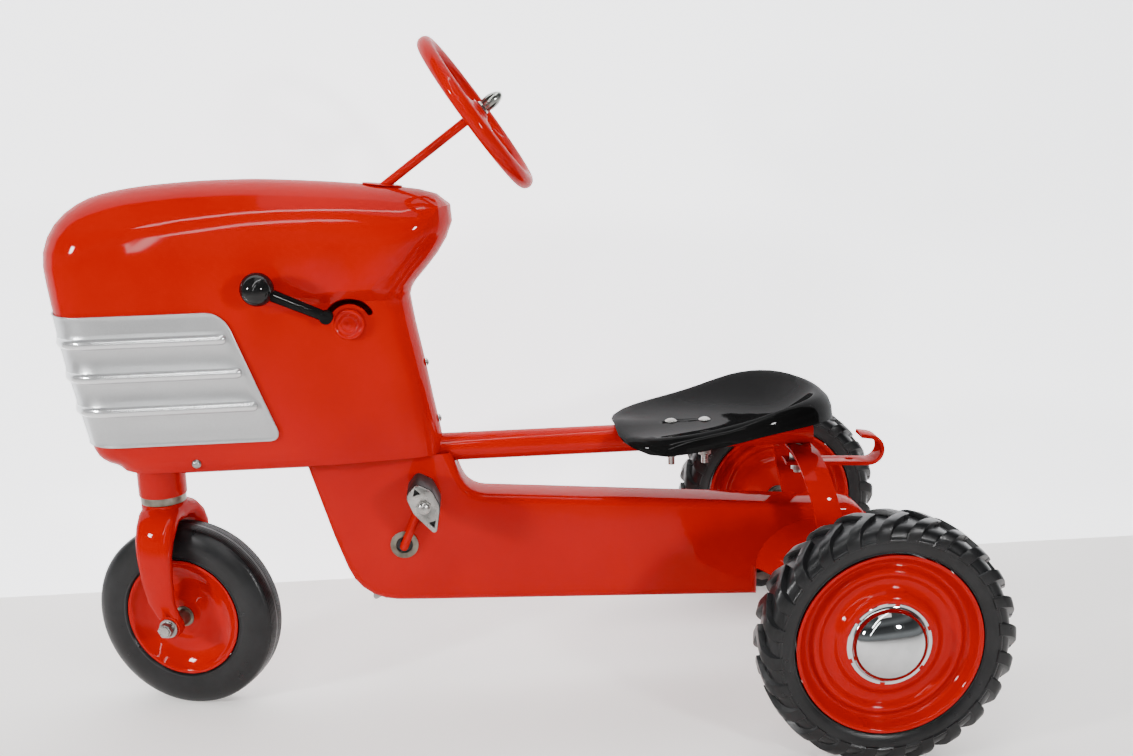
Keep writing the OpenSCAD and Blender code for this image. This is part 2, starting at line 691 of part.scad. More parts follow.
module hitch_strap() color(red) hitch_frame() difference() {
    translate([0, hitch_w / 2, 0]) rotate([90, 0, 0]) linear_extrude(hitch_w)
        polygon(sheet_outline(hitch_path, hitch_t));
    translate([0, 0, -10]) cylinder(r = 4.1, h = 20);
    translate([pin_hole.x, 0, -10]) cylinder(r = pin_hole.y, h = 20);
}

// Bolt through tube, strap, spacer and hitch strap.
module hex_bolt(r, head_r, head_h, shank) {
    cylinder(r = r, h = shank);
    translate([0, 0, -head_h]) cylinder(r = head_r, h = head_h, $fn = 6);
}

module hitch_bolt() color(dull) {
    top = tube_z + tube_r;
    translate([strap_x, 0, top + 0.1]) mirror([0, 0, 1]) hex_bolt(4, 7, 5, top - hitch_z + 14);
    translate([strap_x, 0, hitch_z - 10]) cylinder(r = 7.5, h = 7, $fn = 6);
}

module hitch_spacer() color(dull) difference() {
    translate([strap_x, 0, hitch_z - 2]) cylinder(r = 9, h = crown_z - strap_t / 2 - hitch_z + 2);
    translate([strap_x, 0, hitch_z - 3]) cylinder(r = 4.1, h = 40);
    hitch_frame() translate([-30, -30, hitch_t / 2 - 20]) cube([60, 60, 20]);
}

// Seat.

seat_bolt_x = [rear_x - 180.5, rear_x - 141];
seat_at = [rear_x - 105, 0, tube_z + tube_r + 0.2];
seat_t = 1.6;

// Plan outline of the pan: distance from its middle in the direction q.
function seat_plan(q) = let (
    c = cos(q), s = abs(sin(q)),
    back = seat_len * 0.437, front = seat_len * 0.563, side = seat_w / 2,
    rear = pow(pow(abs(c) / back, 2.1) + pow(s / side, 2.1), -1 / 2.1),
    fore = pow(pow(abs(c) / front, 4) + pow(s / (side * (1 - 0.13 * abs(c))), 4), -1 / 4))
    c > 0 ? rear : mix(fore, rear, ease(1 + c * 3));

// Height of the crest above the floor of the pan in the direction q, and depth of the rolled edge.
function seat_rise(q) = let (c = cos(q), s = abs(sin(q)))
    seat_h * (c > 0 ? 0.64 + 0.85 * c - 0.58 * c * c : (0.64 + 0.72 * c) * ease(s * 2.6));
function seat_lip(q) = cos(q) > 0 ? 0 : 2.4 * (1 - ease(abs(sin(q)) * 2.6));
function seat_drop(q) = let (c = cos(q)) 2.4 + seat_h * (0.45 * ease((c + 1) * 3.5) + 0.23 * clamp(c));

// Across the pan: share of the plan radius, share of the rise, share of the rolled edge's drop.
seat_steps = [[0.11, 0, 0], [0.24, 0.02, 0], [0.38, 0.07, 0], [0.52, 0.18, 0], [0.65, 0.37, 0],
    [0.76, 0.6, 0], [0.85, 0.83, 0], [0.905, 0.965, 0], [0.94, 1, 0], [0.965, 1, 0.1],
    [0.985, 1, 0.32], [0.996, 1, 0.62], [1, 1, 1]];
seat_rays = 48;
function seat_share(x, q) = let (c = clamp(cos(q)), top = 0.93 - 0.11 * c * c)
    x < 0.94 ? x * top / 0.94 : mix(top, 1, (x - 0.94) / 0.06);

function seat_ring(k, w) = [for (i = [0:seat_rays - 1]) let (
    q = 360 * i / seat_rays,
    s = seat_steps[k],
    rr = seat_plan(q) * seat_share(s.x, q) - w * ease((k - 7) / 4),
    z = seat_rise(q) * s.y + seat_lip(q) * pow(s.y, 4) - seat_drop(q) * s.z - w * (1 - ease((k - 8) / 4)))
    seat_at + [rr * cos(q), rr * sin(q), z + seat_t]];

module seat_pan() color(black) difference() {
    m = seat_rays;
    rows = len(seat_steps);
    P = concat([for (k = [0:rows - 1]) each seat_ring(k, 0)],
        [for (k = [0:rows - 1]) each seat_ring(k, seat_t)]);
    n = rows * m;
    rim = [for (j = [0:m - 1]) let (k = (j + 1) % m, a = (rows - 1) * m)
        each [[a + j, a + k, n + a + k], [a + j, n + a + k, n + a + j]]];
    polyhedron(P, concat(
        [[for (j = [m - 1:-1:0]) j]],
        ring_faces(rows, m, 0, false),
        [[for (j = [0:m - 1]) n + j]],
        ring_faces(rows, m, n, true),
        rim));
    for (x = seat_bolt_x) translate([x, 0, seat_at.z - 20]) cylinder(r = 4.1, h = 40);
}

module seat_bolts() color(bright) for (x = seat_bolt_x) translate([x, 0, seat_at.z + seat_t + 0.1]) {
    intersection() {
        cylinder(r = 7, h = 3.5);
        translate([0, 0, -7]) sphere(r = 10.2);
    }
    mirror([0, 0, 1]) cylinder(r = 4, h = 52);
}

module seat_nuts() color(dull) for (x = seat_bolt_x) difference() {
    union() {
        translate([x, 0, tube_z - tube_r - 8]) cylinder(r = 7.5, h = 6.5, $fn = 6);
        translate([x, 0, tube_z - tube_r - 1.5]) cylinder(r = 9, h = 1.4);
    }
    translate([x, 0, tube_z - tube_r - 10]) cylinder(r = 4.02, h = 12);
}

// Lever.

// Half-space inside the pedestal's left side, a distance o off its skin.
module inside_pedestal(o) {
    translate(lever_at - [0, o, 0]) rotate([0.72, 0, atan(0.1446)]) translate([-40, 0, -40])
        cube([80, 40, 80]);
}

module lever_pin() color(red) {
    difference() {
        translate(lever_at) along_y() translate([0, 0, -3.4]) intersection() {
            cylinder(r = 15, h = 6);
            translate([0, 0, 50]) sphere(r = 51.9);
        }
        inside_pedestal(0.15);
    }
    translate(lever_at) along_y() translate([0, 0, -1]) cylinder(r = 3, h = 16);
}

// Lever: an eye on the pin inside the shell, a link, a stud through the slot, a knuckle and the arm.
lever_rest = slot_to - 1;
lever_in = 8;
lever_out = 18;
splay = 15.4;
lever_run = (lever_r - slot_r) / cos(splay);
knob_at = lever_at + [cos(lever_rest) * lever_r, -lever_out - (lever_r - slot_r) * tan(splay),
    sin(lever_rest) * lever_r];

// Frame on the pivot with +X along the lever.
module at_lever(y) { translate(lever_at + [0, y, 0]) rotate([0, -lever_rest, 0]) children(); }

module on_arm() {
    at_lever(-lever_out) translate([slot_r, 0, 0]) rotate([0, 0, -splay]) rotate([0, 90, 0])
        children();
}
arm_in = knob_d / 2 - 5;

module lever_arm() color(black) difference() {
    union() {
        at_lever(lever_in - 2) along_y() cylinder(r = 7, h = 4);
        at_lever(lever_in) rotate([0, 90, 0]) translate([0, 0, 4]) cylinder(r = 1.7, h = slot_r - 4);
        at_lever(-lever_out) translate([slot_r, 0, 0]) along_y()
            cylinder(r = 2.6, h = lever_in + lever_out + 2.4);
        at_lever(-lever_out - 6.5) translate([slot_r, 0, 0]) along_y() cylinder(r = 7, h = 13);
        on_arm() cylinder(r1 = 5.6, r2 = 6.5, h = lever_run - arm_in);
    }
    at_lever(lever_in) along_y() translate([0, 0, -6]) cylinder(r = 3 + run, h = 12);
}

module lever_knob() color(black) difference() {
    translate(knob_at) sphere(r = knob_d / 2);
    on_arm() cylinder(r = 6.6, h = lever_run - arm_in + 0.1);
}

// Steering.

// The pin crosses the slotted arm at arm_r from the steering axis, so both turn alike.
tan_c = tan(column_tilt);
cos_c = cos(column_tilt);
arm_z = col_z(king_x) - arm_r * cos_c * (1 + tan_c * tan_c - tan_c / cos_c);
rod_end = [king_x + arm_r * (1 - tan_c * cos_c), 0, arm_z + arm_r * cos_c];
pin_dir = [sin(column_tilt), 0, -cos(column_tilt)];

// Turns children from straight ahead to the rest position about the column or the steering axis.
module turned_column() {
    translate(hub_at) rotate([0, 90 - column_tilt, 0]) rotate([0, 0, steer_at_rest])
        rotate([0, column_tilt - 90, 0]) translate(-hub_at) children();
}
module turned_fork() { translate([king_x, 0, 0]) rotate([0, 0, steer_at_rest]) children(); }

hub_h = 16;
module steering_rod() color(red) turned_column() {
    on_column(rod_end) cylinder(r = rod_r, h = norm(hub_at - rod_end) - hub_low);
    on_column(rod_end) cylinder(r = 4, h = norm(hub_at - rod_end) + hub_h / 2 + 10);
    translate(rod_end) sphere(r = rod_r);
    translate(rod_end) rotate([0, 180 - column_tilt, 0]) cylinder(r = pin_r, h = arm_r / cos(35) + 7);
}

rim_r = 8.5;
spoke_w = 22;
hub_low = 13;
wheel_lean = 1.3;
module steering_wheel() color(red) turned_column() on_column(hub_at) difference() {
    union() {
        rotate([0, 0, -steer_at_rest]) rotate([wheel_skew, wheel_lean, 0]) {
            rotate_extrude() translate([wheel_d / 2 - rim_r, 0]) circle(r = rim_r);
            for (a = [-30, 90, 210]) rotate([0, 0, a]) translate([12, -spoke_w / 2, -2])
                cube([wheel_d / 2 - rim_r - 14, spoke_w, 4]);
        }
        rotate_extrude() polygon(rounded([[2, -hub_low, 0], [8.5, -hub_low, 2], [11, -hub_low + 2.2, 4],
            [22, -7, 7], [25, -1, 4], [24, 3.2, 2], [13, 4.6, 5], [10.5, hub_h / 2, 1], [2, hub_h / 2, 0]], 3));
    }
    translate([0, 0, -hub_h]) cylinder(r = 4.05, h = 2 * hub_h);
}

module steering_nut() color(bright) turned_column() on_column(hub_at) difference() {
    union() {
        translate([0, 0, hub_h / 2 + 0.1]) cylinder(r = 8.5, h = 6, $fn = 6);
        translate([0, 0, hub_h / 2 + 5]) cylinder(r1 = 7.2, r2 = 6.2, h = 18);
        translate([0, 0, hub_h / 2 + 22.6]) sphere(r = 6.6);
    }
    translate([0, 0, 0]) cylinder(r = 4.02, h = hub_h / 2 + 10.2);
}

// Fork: one pressing swept from the left axle eye over the crown to the right eye.
// Stations: [y, z, middle x, half width, half thickness], from the eye to the crown.
leg_in = front_w / 2 + 16;
crown_low = front_z + front_d / 2 + 3;
crown_half = (crown_top - crown_low) / 2;
fork_half = [
    [leg_in + 6, front_z, trail, 13, 5],
    [leg_in + 6, front_z + 12, trail - 2, 14, 5.4],
    [leg_in + 6, front_z + 27, 11, 16, 6],
    [leg_in + 6, front_z + 54, 8, 19, 6.6],
    [leg_in + 5, front_z + 82, 7, 21, 7.6],
    [leg_in + 2, front_z + 98, 7, 22.5, 8.4],
    [leg_in - 5, crown_low - 1, 6.5, 23.5, crown_half - 0.6],
    [leg_in - 15, crown_low + crown_half - 2, 5, 24, crown_half - 0.3],
    [leg_in - 28, crown_low + crown_half, 2, 25, crown_half],
    [0, crown_low + crown_half, 0, 26, crown_half]];
fork_path = concat([for (s = fork_half) [-s[0], s[1], s[2], s[3], s[4]]],
    [for (i = [len(fork_half) - 2:-1:0]) fork_half[i]]);
fork_sides = 20;

module fork_sweep() {
    m = len(fork_path);
    flat = [for (s = fork_path) [s[0], s[1]]];
    P = [for (i = [0:m - 1]) let (s = fork_path[i], n = side_of(flat, i))
        each [for (k = [0:fork_sides - 1]) let (
            q = 360 * k / fork_sides,
            c = sign(cos(q)) * pow(abs(cos(q)), 0.8),
            t = sign(sin(q)) * pow(abs(sin(q)), 0.8))
            [s[2] + s[3] * c, s[0] + n.x * s[4] * t, s[1] + n.y * s[4] * t]]];
    c = fork_sides;
    polyhedron(P, concat(ring_faces(m, c, 0, false),
        [[for (j = [c - 1:-1:0]) j]], [[for (j = [0:c - 1]) (m - 1) * c + j]]));
}

axle_bolt_r = 6;
arm_t = 4;
stem_top = arm_z + arm_t / 2 + 14;
module fork() color(red) turned_fork() difference() {
    union() {
        fork_sweep();
        translate([0, 0, crown_low + 3]) cylinder(r = head_r - 1.5, h = crown_top - crown_low - 3);
        cylinder_z(stem_r, crown_low + 5, arm_z - arm_t / 2);
        cylinder_z(6, arm_z - arm_t, stem_top);
        for (s = [-1, 1]) translate([trail, s * (leg_in + 6) - 5.5, front_z]) along_y() cylinder(r = 13.5, h = 11);
    }
    translate([trail, -100, front_z]) along_y() cylinder(r = axle_bolt_r + run, h = 200);
}
module cylinder_z(r, z0, z1) { translate([0, 0, z0]) cylinder(r = r, h = z1 - z0); }

slot_half = pin_r + 1.3;
slot_in = arm_r - pin_r - 5;
slot_out = arm_r / cos(35) + pin_r + 6.5;
module steering_arm() color(dull) turned_fork() difference() {
    union() {
        cylinder_z(13, arm_z - arm_t / 2, arm_z + arm_t / 2);
        translate([0, -slot_half - 4, arm_z - arm_t / 2])
            cube([slot_out - 2, 2 * slot_half + 8, arm_t]);
        translate([slot_out - 5, 0, 0]) cylinder_z(slot_half + 4, arm_z - arm_t / 2, arm_z + arm_t / 2);
    }
    cylinder_z(6.02, arm_z - 10, arm_z + 10);
    for (x = [slot_in + slot_half, slot_out - slot_half]) translate([x, 0, 0])
        cylinder_z(slot_half, arm_z - 10, arm_z + 10);
    translate([slot_in + slot_half, -slot_half, arm_z - 10])
        cube([slot_out - slot_in - 2 * slot_half, 2 * slot_half, 20]);
}

module stem_nut() color(dull) turned_fork() difference() {
    translate([0, 0, arm_z + arm_t / 2 + 0.1]) cylinder(r = 11, h = 9, $fn = 6);
    cylinder_z(6.02, arm_z, arm_z + 20);
}

// Front wheel.

module front_place() { turned_fork() translate([trail, 0, front_z]) along_y() children(); }

fork_out = leg_in + 6 + 5.5;
module front_axle() color(dull) front_place() translate([0, 0, -fork_out - 11]) cylinder(r = axle_bolt_r, h = 2 * fork_out + 22);

module front_axle_nuts() color(bright) front_place() for (s = [0, 1]) mirror([0, 0, s]) difference() {
    union() {
        translate([0, 0, fork_out + 0.1]) cylinder(r = 11, h = 1.8);
        translate([0, 0, fork_out + 1.8]) cylinder(r = 8.6, h = 8, $fn = 6);
    }
    translate([0, 0, fork_out - 1]) cylinder(r = axle_bolt_r + 0.02, h = 20);
}

// Wheel made of two pressed dishes: a path [radius, offset] on one side, mirrored for the other.
module dish(path, t) { rotate_extrude() polygon(sheet_outline(path, t)); }

front_rr = front_rim_d / 2;
front_path = [[11.5, 13], [22, 12.4], [30, 8], [40, 6], [50, 7.5], [front_rr - 9.5, 12],
    [front_rr - 5.5, front_w / 2 - 7], [front_rr - 2.5, front_w / 2 - 4.2], [front_rr, front_w / 2 - 4]];
module front_disc() color(red) front_place() {
    for (s = [0, 1]) mirror([0, 0, s]) rotate_extrude() difference() {
        polygon(sheet_outline(front_path, 1.6));
        translate([-1, -1]) square([13.1, 100]);
    }
    rotate_extrude() polygon([[front_rr - 6.2, -16], [front_rr - 4.6, -16], [front_rr - 4.6, 16], [front_rr - 6.2, 16]]);
}

function tyre_profile(r_in, r_out, w, seat) = rounded([
    [r_in, -seat, 0], [r_in, seat, 0], [r_in + 3, w / 2 - 1, 2],
    [mix(r_in, r_out, 0.45), w / 2 + 0.6, 14], [r_out - 5, w / 2 - 6, 7], [r_out, w / 2 - 13, 5],
    [r_out, 13 - w / 2, 5], [r_out - 5, 6 - w / 2, 7],
    [mix(r_in, r_out, 0.45), -w / 2 - 0.6, 14], [r_in + 3, 1 - w / 2, 2]], 5);

module front_tyre() color(rubber) front_place() difference() {
    rotate_extrude($fn = 96) difference() {
        polygon(tyre_profile(front_rr + 0.3, front_z, front_w, front_w / 2 - 5.5));
        for (y = [-9, -4.5, 0, 4.5, 9]) translate([front_z - 1.6, y - 0.8]) square([5, 1.6]);
    }
}

module front_hub() color(dull) front_place() difference() {
    union() {
        translate([0, 0, -leg_in - 0.2]) cylinder(r = 9, h = 2 * leg_in + 0.4);
        translate([0, 0, -16]) cylinder(r = 12, h = 32);
    }
    translate([0, 0, -60]) cylinder(r = axle_bolt_r + run, h = 120);
}

// Crank and pedals.

crank_lean = 23;
arm_y = half_case + 2.2 + gap + crank_rod_r + 0.5;
pedal_in = arm_y + crank_rod_r + 1;
pedal_out = pedal_in + pedal_len;

// Places children at a pedal's pin; side is -1 on the left, where the crank points up.
module at_pedal(side) {
    q = 90 - crank_lean + (side > 0 ? 180 : 0);
    translate([crank_x + crank_r * cos(q), 0, crank_z + crank_r * sin(q)]) children();
}

module crank() color(red) {
    translate([crank_x, -arm_y, crank_z]) along_y() cylinder(r = crank_rod_r, h = 2 * arm_y);
    for (s = [-1, 1]) {
        translate([crank_x, s * arm_y, crank_z]) sphere(r = crank_rod_r);
        translate([crank_x, s * arm_y, crank_z]) rotate([0, crank_lean + (s > 0 ? 180 : 0), 0])
            cylinder(r = crank_rod_r, h = crank_r);
        at_pedal(s) translate([0, s * arm_y, 0]) {
            sphere(r = crank_rod_r);
            rotate([-90 * s, 0, 0]) cylinder(r = crank_rod_r, h = pedal_out - arm_y + 5);
        }
    }
}

// Leaf-shaped pedal section, long axis along +Y of the drawing.
module leaf(grow) {
    polygon(rounded([[0, 28 + grow, 6], [-16 - grow, 17, 10], [-14 - grow, -4, 12],
        [2, -36 - grow, 3], [17 + grow, -6, 14], [14 + grow, 14, 10]], 4));
}
module pedal_place(side) {
    at_pedal(side) rotate([0, side < 0 ? -16 : 35, 0]) rotate([90, 0, 0])
        translate([0, 0, side < 0 ? pedal_in : -pedal_out]) children();
}
plate_t = 3.5;

module pedal_rubber(side) color(rubber) pedal_place(side) difference() {
    translate([0, 0, plate_t]) linear_extrude(pedal_len - 2 * plate_t) leaf(0);
    translate([0, 0, -1]) cylinder(r = crank_rod_r + 1, h = pedal_len + 2);
}

module pedal_plates(side) color(bright) pedal_place(side) for (z = [0, pedal_len - plate_t]) difference() {
    translate([0, 0, z]) linear_extrude(plate_t) leaf(-1);
    translate([0, 0, z - 1]) cylinder(r = crank_rod_r + run, h = plate_t + 2);
    for (p = [[-3, 18, 0], [3, -21, 180]]) translate([p.x, p.y, z - 1]) rotate([0, 0, p.z + 90])
        cylinder(r = 5, h = plate_t + 2, $fn = 3);
}

module pedal_nut(side) color(bright) pedal_place(side)
    translate([0, 0, side < 0 ? pedal_len + 0.2 : -0.2]) mirror([0, 0, side < 0 ? 0 : 1]) difference() {
    union() {
        cylinder(r = 7.5, h = 2);
        intersection() {
            cylinder(r = 6.4, h = 8);
            translate([0, 0, -1.2]) sphere(r = 9);
        }
    }
    translate([0, 0, -1]) cylinder(r = crank_rod_r + 0.05, h = 6.1);
}

module pedal_rubber_left() pedal_rubber(-1);
module pedal_plates_left() pedal_plates(-1);
module pedal_nut_left() pedal_nut(-1);
module pedal_rubber_right() pedal_rubber(1);
module pedal_plates_right() pedal_plates(1);
module pedal_nut_right() pedal_nut(1);

// Chain drive.

function pitch_r(teeth) = pitch / (2 * sin(180 / teeth));
chain_dx = rear_x - crank_x;
chain_dz = axle_z - crank_z;
chain_c = sqrt(chain_dx * chain_dx + chain_dz * chain_dz);
chain_turn = atan2(chain_dz, chain_dx);
wrap = asin((pitch_r(front_teeth) - pitch_r(rear_teeth)) / chain_c);
roller_r = 3.9;
plate_half = 5.2;

// Rollers in the drive's own frame: front sprocket at the origin, rear one along +X.
front_rollers = [for (k = [-20:20]) let (q = k * 360 / front_teeth) if (abs(q) <= 90 + wrap - 1)
    pitch_r(front_teeth) * [-cos(q), -sin(q)]];
rear_rollers = [for (k = [-20:20]) let (q = k * 360 / rear_teeth) if (abs(q) <= 90 - wrap - 1)
    [chain_c, 0] + pitch_r(rear_teeth) * [cos(q), sin(q)]];
function run_of(a, b) = let (n = round(norm(b - a) / pitch)) [for (k = [1:n - 1]) mix(a, b, k / n)];
fl = len(front_rollers);
rl = len(rear_rollers);
rollers = concat(front_rollers, run_of(front_rollers[fl - 1], rear_rollers[0]), rear_rollers,
    run_of(rear_rollers[rl - 1], front_rollers[0]));

module in_drive() { translate([crank_x, 0, crank_z]) rotate([90, 0, 0]) rotate([0, 0, chain_turn]) children(); }

// Waisted side plates: an outline that swells at each roller and draws in between two.
function ring_side(P, i) = let (m = len(P), d = P[(i + 1) % m] - P[(i + m - 1) % m]) [-d.y, d.x] / norm(d);
function plate_line(sgn) = [for (i = [0:len(rollers) - 1]) let (
    m = len(rollers),
    a = rollers[i],
    b = rollers[(i + 1) % m],
    n = ring_side(rollers, i) * sgn,
    c = (b - a) / norm(b - a),
    f = [-c.y, c.x] * sgn)
    each [a + n * plate_half, mix(a, b, 0.25) + f * 4.4, mix(a, b, 0.5) + f * 3.3,
        mix(a, b, 0.75) + f * 4.4]];

module chain_plate(h) {
    o = plate_line(1);
    i = plate_line(-1);
    linear_extrude(h) polygon(concat(o, i),
        [[for (k = [0:len(o) - 1]) k], [for (k = [0:len(i) - 1]) len(o) + k]]);
}

module chain() color(dull) in_drive() {
    for (z = [-4.6, 3.1]) translate([0, 0, z]) chain_plate(1.5);
    for (p = rollers) translate([p.x, p.y, -3.3]) cylinder(r = roller_r, h = 6.6);
}

// Toothed disc with round tooth gaps that clear the rollers.
module sprocket(teeth, bore, hub_r, hub_len, turn) rotate([0, 0, turn]) difference() {
    union() {
        translate([0, 0, -1.4]) cylinder(r = pitch_r(teeth) + 3.2, h = 2.8);
        translate([0, 0, -hub_len / 2]) cylinder(r = hub_r, h = hub_len);
    }
    translate([0, 0, -hub_len]) cylinder(r = bore, h = 2 * hub_len);
    for (k = [0:teeth - 1]) rotate([0, 0, k * 360 / teeth]) translate([pitch_r(teeth), 0, -3]) {
        cylinder(r = roller_r + 0.35, h = 6);
        linear_extrude(6) polygon([[-0.5, -4.1], [6, -7.2], [6, 7.2], [-0.5, 4.1]]);
    }
}

module front_sprocket() color(dull) in_drive() sprocket(front_teeth, crank_rod_r + 0.03, 13, 16, 180);
module rear_sprocket() color(dull) in_drive() translate([chain_c, 0, 0]) sprocket(rear_teeth, axle_r + 0.03, 14, 16, 0);

// Rear wheels.

wheel_y = track / 2;
axle_half = wheel_y + 28;
module rear_axle() color(dull) translate([rear_x, -axle_half, axle_z]) along_y() cylinder(r = axle_r, h = 2 * axle_half);

// Drawn round +Z with the outer face towards +Z.
module rear_place(side) {
    translate([rear_x, side * wheel_y, axle_z]) rotate([-90 * side, 0, 0]) children();
}

rear_rr = rear_rim_d / 2;
rear_path = [[17.5, 17.5], [46, 17.5], [50, 16.4], [54, 12], [60, 9], [68, 9.4], [72, 12.6],
    [76, 13], [79, 10], [84, 8],
    [rear_rr - 8, 11], [rear_rr - 4.5, rear_w / 2 - 9], [rear_rr - 2.5, rear_w / 2 - 4.6], [rear_rr, rear_w / 2 - 4]];

module rear_disc(side) color(red) rear_place(side) {
    for (s = [0, 1]) mirror([0, 0, s]) rotate_extrude() polygon(sheet_outline(rear_path, 1.6));
    rotate_extrude() translate([rear_rr - 6.2, -15]) square([1.6, 30]);
}

// Ring that all the lugs are cut from, down over the tyre's shoulders.
module lug_ring() rotate_extrude($fn = 96) polygon(rounded([
    [rear_d / 2 - lug_h - 8, -rear_w / 2 + 5, 0], [rear_d / 2 - lug_h - 8, rear_w / 2 - 5, 0],
    [rear_d / 2 - lug_h - 9, rear_w / 2 + 1.6, 2], [rear_d / 2 - 6, rear_w / 2 - 1.5, 4],
    [rear_d / 2, rear_w / 2 - 8, 2], [rear_d / 2, -rear_w / 2 + 8, 2],
    [rear_d / 2 - 6, -rear_w / 2 + 1.5, 4], [rear_d / 2 - lug_h - 9, -rear_w / 2 - 1.6, 2]], 2));

module lug_arm(side) translate([rear_d / 2 - 30, 0, 0]) rotate([side * lug_slant, 0, 0])
    translate([0, -lug_w / 2, -lug_w / 2]) cube([40, lug_w, 60]);

// Carcass with lugs in a V; both wheels' lugs point the same way round.
module rear_tyre(side) color(rubber) rear_place(side) {
    rotate_extrude($fn = 96) polygon(tyre_profile(rear_rr + 0.3, rear_d / 2 - lug_h, rear_w, rear_w / 2 - 5.5));
    intersection() {
        lug_ring();
        for (k = [0:lugs - 1], s = [0, 1])
            rotate([0, 0, -side * (lug_start + k * lug_step)]) mirror([0, 0, s]) lug_arm(side);
    }
}

hub_in = leg_out + 2.55 + gap;
module rear_hub(side) color(dull) rear_place(side) difference() {
    union() {
        translate([0, 0, hub_in - wheel_y]) cylinder(r = 12, h = wheel_y - hub_in);
        translate([0, 0, -16.4]) cylinder(r = 20, h = 32.8);
        translate([0, 0, -19]) cylinder(r = 15, h = 38);
    }
    translate([0, 0, -wheel_y]) cylinder(r = axle_r + (side < 0 ? run : 0.03), h = 2 * wheel_y);
}

module rear_cap(side) color(bright) rear_place(side) {
    rotate_extrude() polygon(sheet_outline(concat([[44, 19.2], [40, 19.2]],
        [for (q = [10:10:80]) [38.5 * cos(q) + 0.3, 19.6 + 20 * sin(q)]], [[0.81, 39.8]]), 1.2));
}

module axle_nuts() color(dull) for (s = [-1, 1]) rear_place(s) difference() {
    translate([0, 0, 19.2]) cylinder(r = 11, h = 6, $fn = 6);
    translate([0, 0, 18]) cylinder(r = axle_r + 0.02, h = 20);
}

module rear_disc_right() rear_disc(1);
module rear_tyre_right() rear_tyre(1);
module rear_hub_right() rear_hub(1);
module rear_cap_right() rear_cap(1);
module rear_disc_left() rear_disc(-1);
module rear_tyre_left() rear_tyre(-1);
module rear_hub_left() rear_hub(-1);
module rear_cap_left() rear_cap(-1);

hood_shell();
grille_panel();
column_grommet();
column_bracket();
main_tube();
head_tube();
head_bushes();
head_collar();
body_screws();
case_left();
case_right();
crank_races();
crank_bushes();
housing_left();
housing_right();
axle_bearings();
arch_strap();
hitch_strap();
hitch_bolt();
hitch_spacer();
seat_pan();
seat_bolts();
seat_nuts();
lever_pin();
chain();
steering_rod();
steering_wheel();
steering_nut();
fork();
steering_arm();
stem_nut();
front_axle();
front_axle_nuts();
front_disc();
front_tyre();
front_hub();
crank();
front_sprocket();
pedal_rubber_left();
pedal_plates_left();
pedal_nut_left();
pedal_rubber_right();
pedal_plates_right();
pedal_nut_right();
rear_axle();
rear_sprocket();
rear_disc_right();
rear_tyre_right();
rear_hub_right();
rear_cap_right();
rear_disc_left();
rear_tyre_left();
rear_hub_left();
rear_cap_left();
axle_nuts();
lever_arm();
lever_knob();
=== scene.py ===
"""Pedal tractor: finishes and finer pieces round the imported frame."""
import json
import math

import bpy
from mathutils import Matrix, Vector
from mathutils.kdtree import KDTree

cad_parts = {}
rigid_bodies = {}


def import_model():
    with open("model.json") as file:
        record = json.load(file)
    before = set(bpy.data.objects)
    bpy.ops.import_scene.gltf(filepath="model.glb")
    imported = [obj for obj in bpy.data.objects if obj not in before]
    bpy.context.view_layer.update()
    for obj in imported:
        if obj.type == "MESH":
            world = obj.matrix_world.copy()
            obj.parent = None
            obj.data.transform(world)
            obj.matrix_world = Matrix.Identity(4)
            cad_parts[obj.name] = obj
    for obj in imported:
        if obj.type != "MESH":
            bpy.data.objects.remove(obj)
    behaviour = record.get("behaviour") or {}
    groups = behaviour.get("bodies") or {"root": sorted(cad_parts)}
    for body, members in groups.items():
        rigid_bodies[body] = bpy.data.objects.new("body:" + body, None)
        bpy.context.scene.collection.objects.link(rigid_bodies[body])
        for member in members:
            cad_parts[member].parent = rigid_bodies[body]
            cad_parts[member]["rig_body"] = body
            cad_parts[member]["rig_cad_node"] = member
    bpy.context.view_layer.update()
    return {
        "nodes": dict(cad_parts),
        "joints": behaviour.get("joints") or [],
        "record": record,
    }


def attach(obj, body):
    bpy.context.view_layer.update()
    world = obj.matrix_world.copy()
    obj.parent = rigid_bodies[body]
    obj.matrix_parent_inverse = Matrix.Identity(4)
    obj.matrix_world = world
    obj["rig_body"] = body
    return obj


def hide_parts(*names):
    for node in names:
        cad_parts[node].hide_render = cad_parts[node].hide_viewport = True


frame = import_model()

NODES = frame["nodes"]
BODY_OF = {n: b for b, ns in frame["record"]["behaviour"]["bodies"].items() for n in ns}
SLOT_OF = {s["node"]: s["material_slot"] for s in frame["record"]["subparts"]}
JOINT = {j["name"]: j for j in frame["joints"]}


# Camera: where the photograph was taken from, fitted to the wheels, the hood and the tube.
CAMERA_AT = Vector((-0.03813, -1.4392, 0.6975))
CAMERA_YAW, CAMERA_PITCH, CAMERA_ROLL = 4.10, 13.03, 1.637
LENS = 41.15


def place_camera():
    """Looks along +Y, turned to the right by yaw, down by pitch, and rolled."""
    yaw, pitch, roll = (math.radians(v) for v in (CAMERA_YAW, CAMERA_PITCH, CAMERA_ROLL))
    level = math.cos(pitch)
    ahead = Vector((math.sin(yaw) * level, math.cos(yaw) * level, -math.sin(pitch)))
    right = Vector((math.cos(yaw), -math.sin(yaw), 0))
    down = ahead.cross(right)
    across = right * math.cos(roll) + down * math.sin(roll)
    under = -right * math.sin(roll) + down * math.cos(roll)
    turn = Matrix((across, -under, -ahead)).transposed()
    camera = bpy.data.objects.new("camera", bpy.data.cameras.new("camera"))
    bpy.context.scene.collection.objects.link(camera)
    camera.matrix_world = Matrix.Translation(CAMERA_AT) @ turn.to_4x4()
    camera.data.sensor_width = 36
    camera.data.lens = LENS
    camera.data.clip_start, camera.data.clip_end = 0.05, 30
    bpy.context.scene.camera = camera


place_camera()


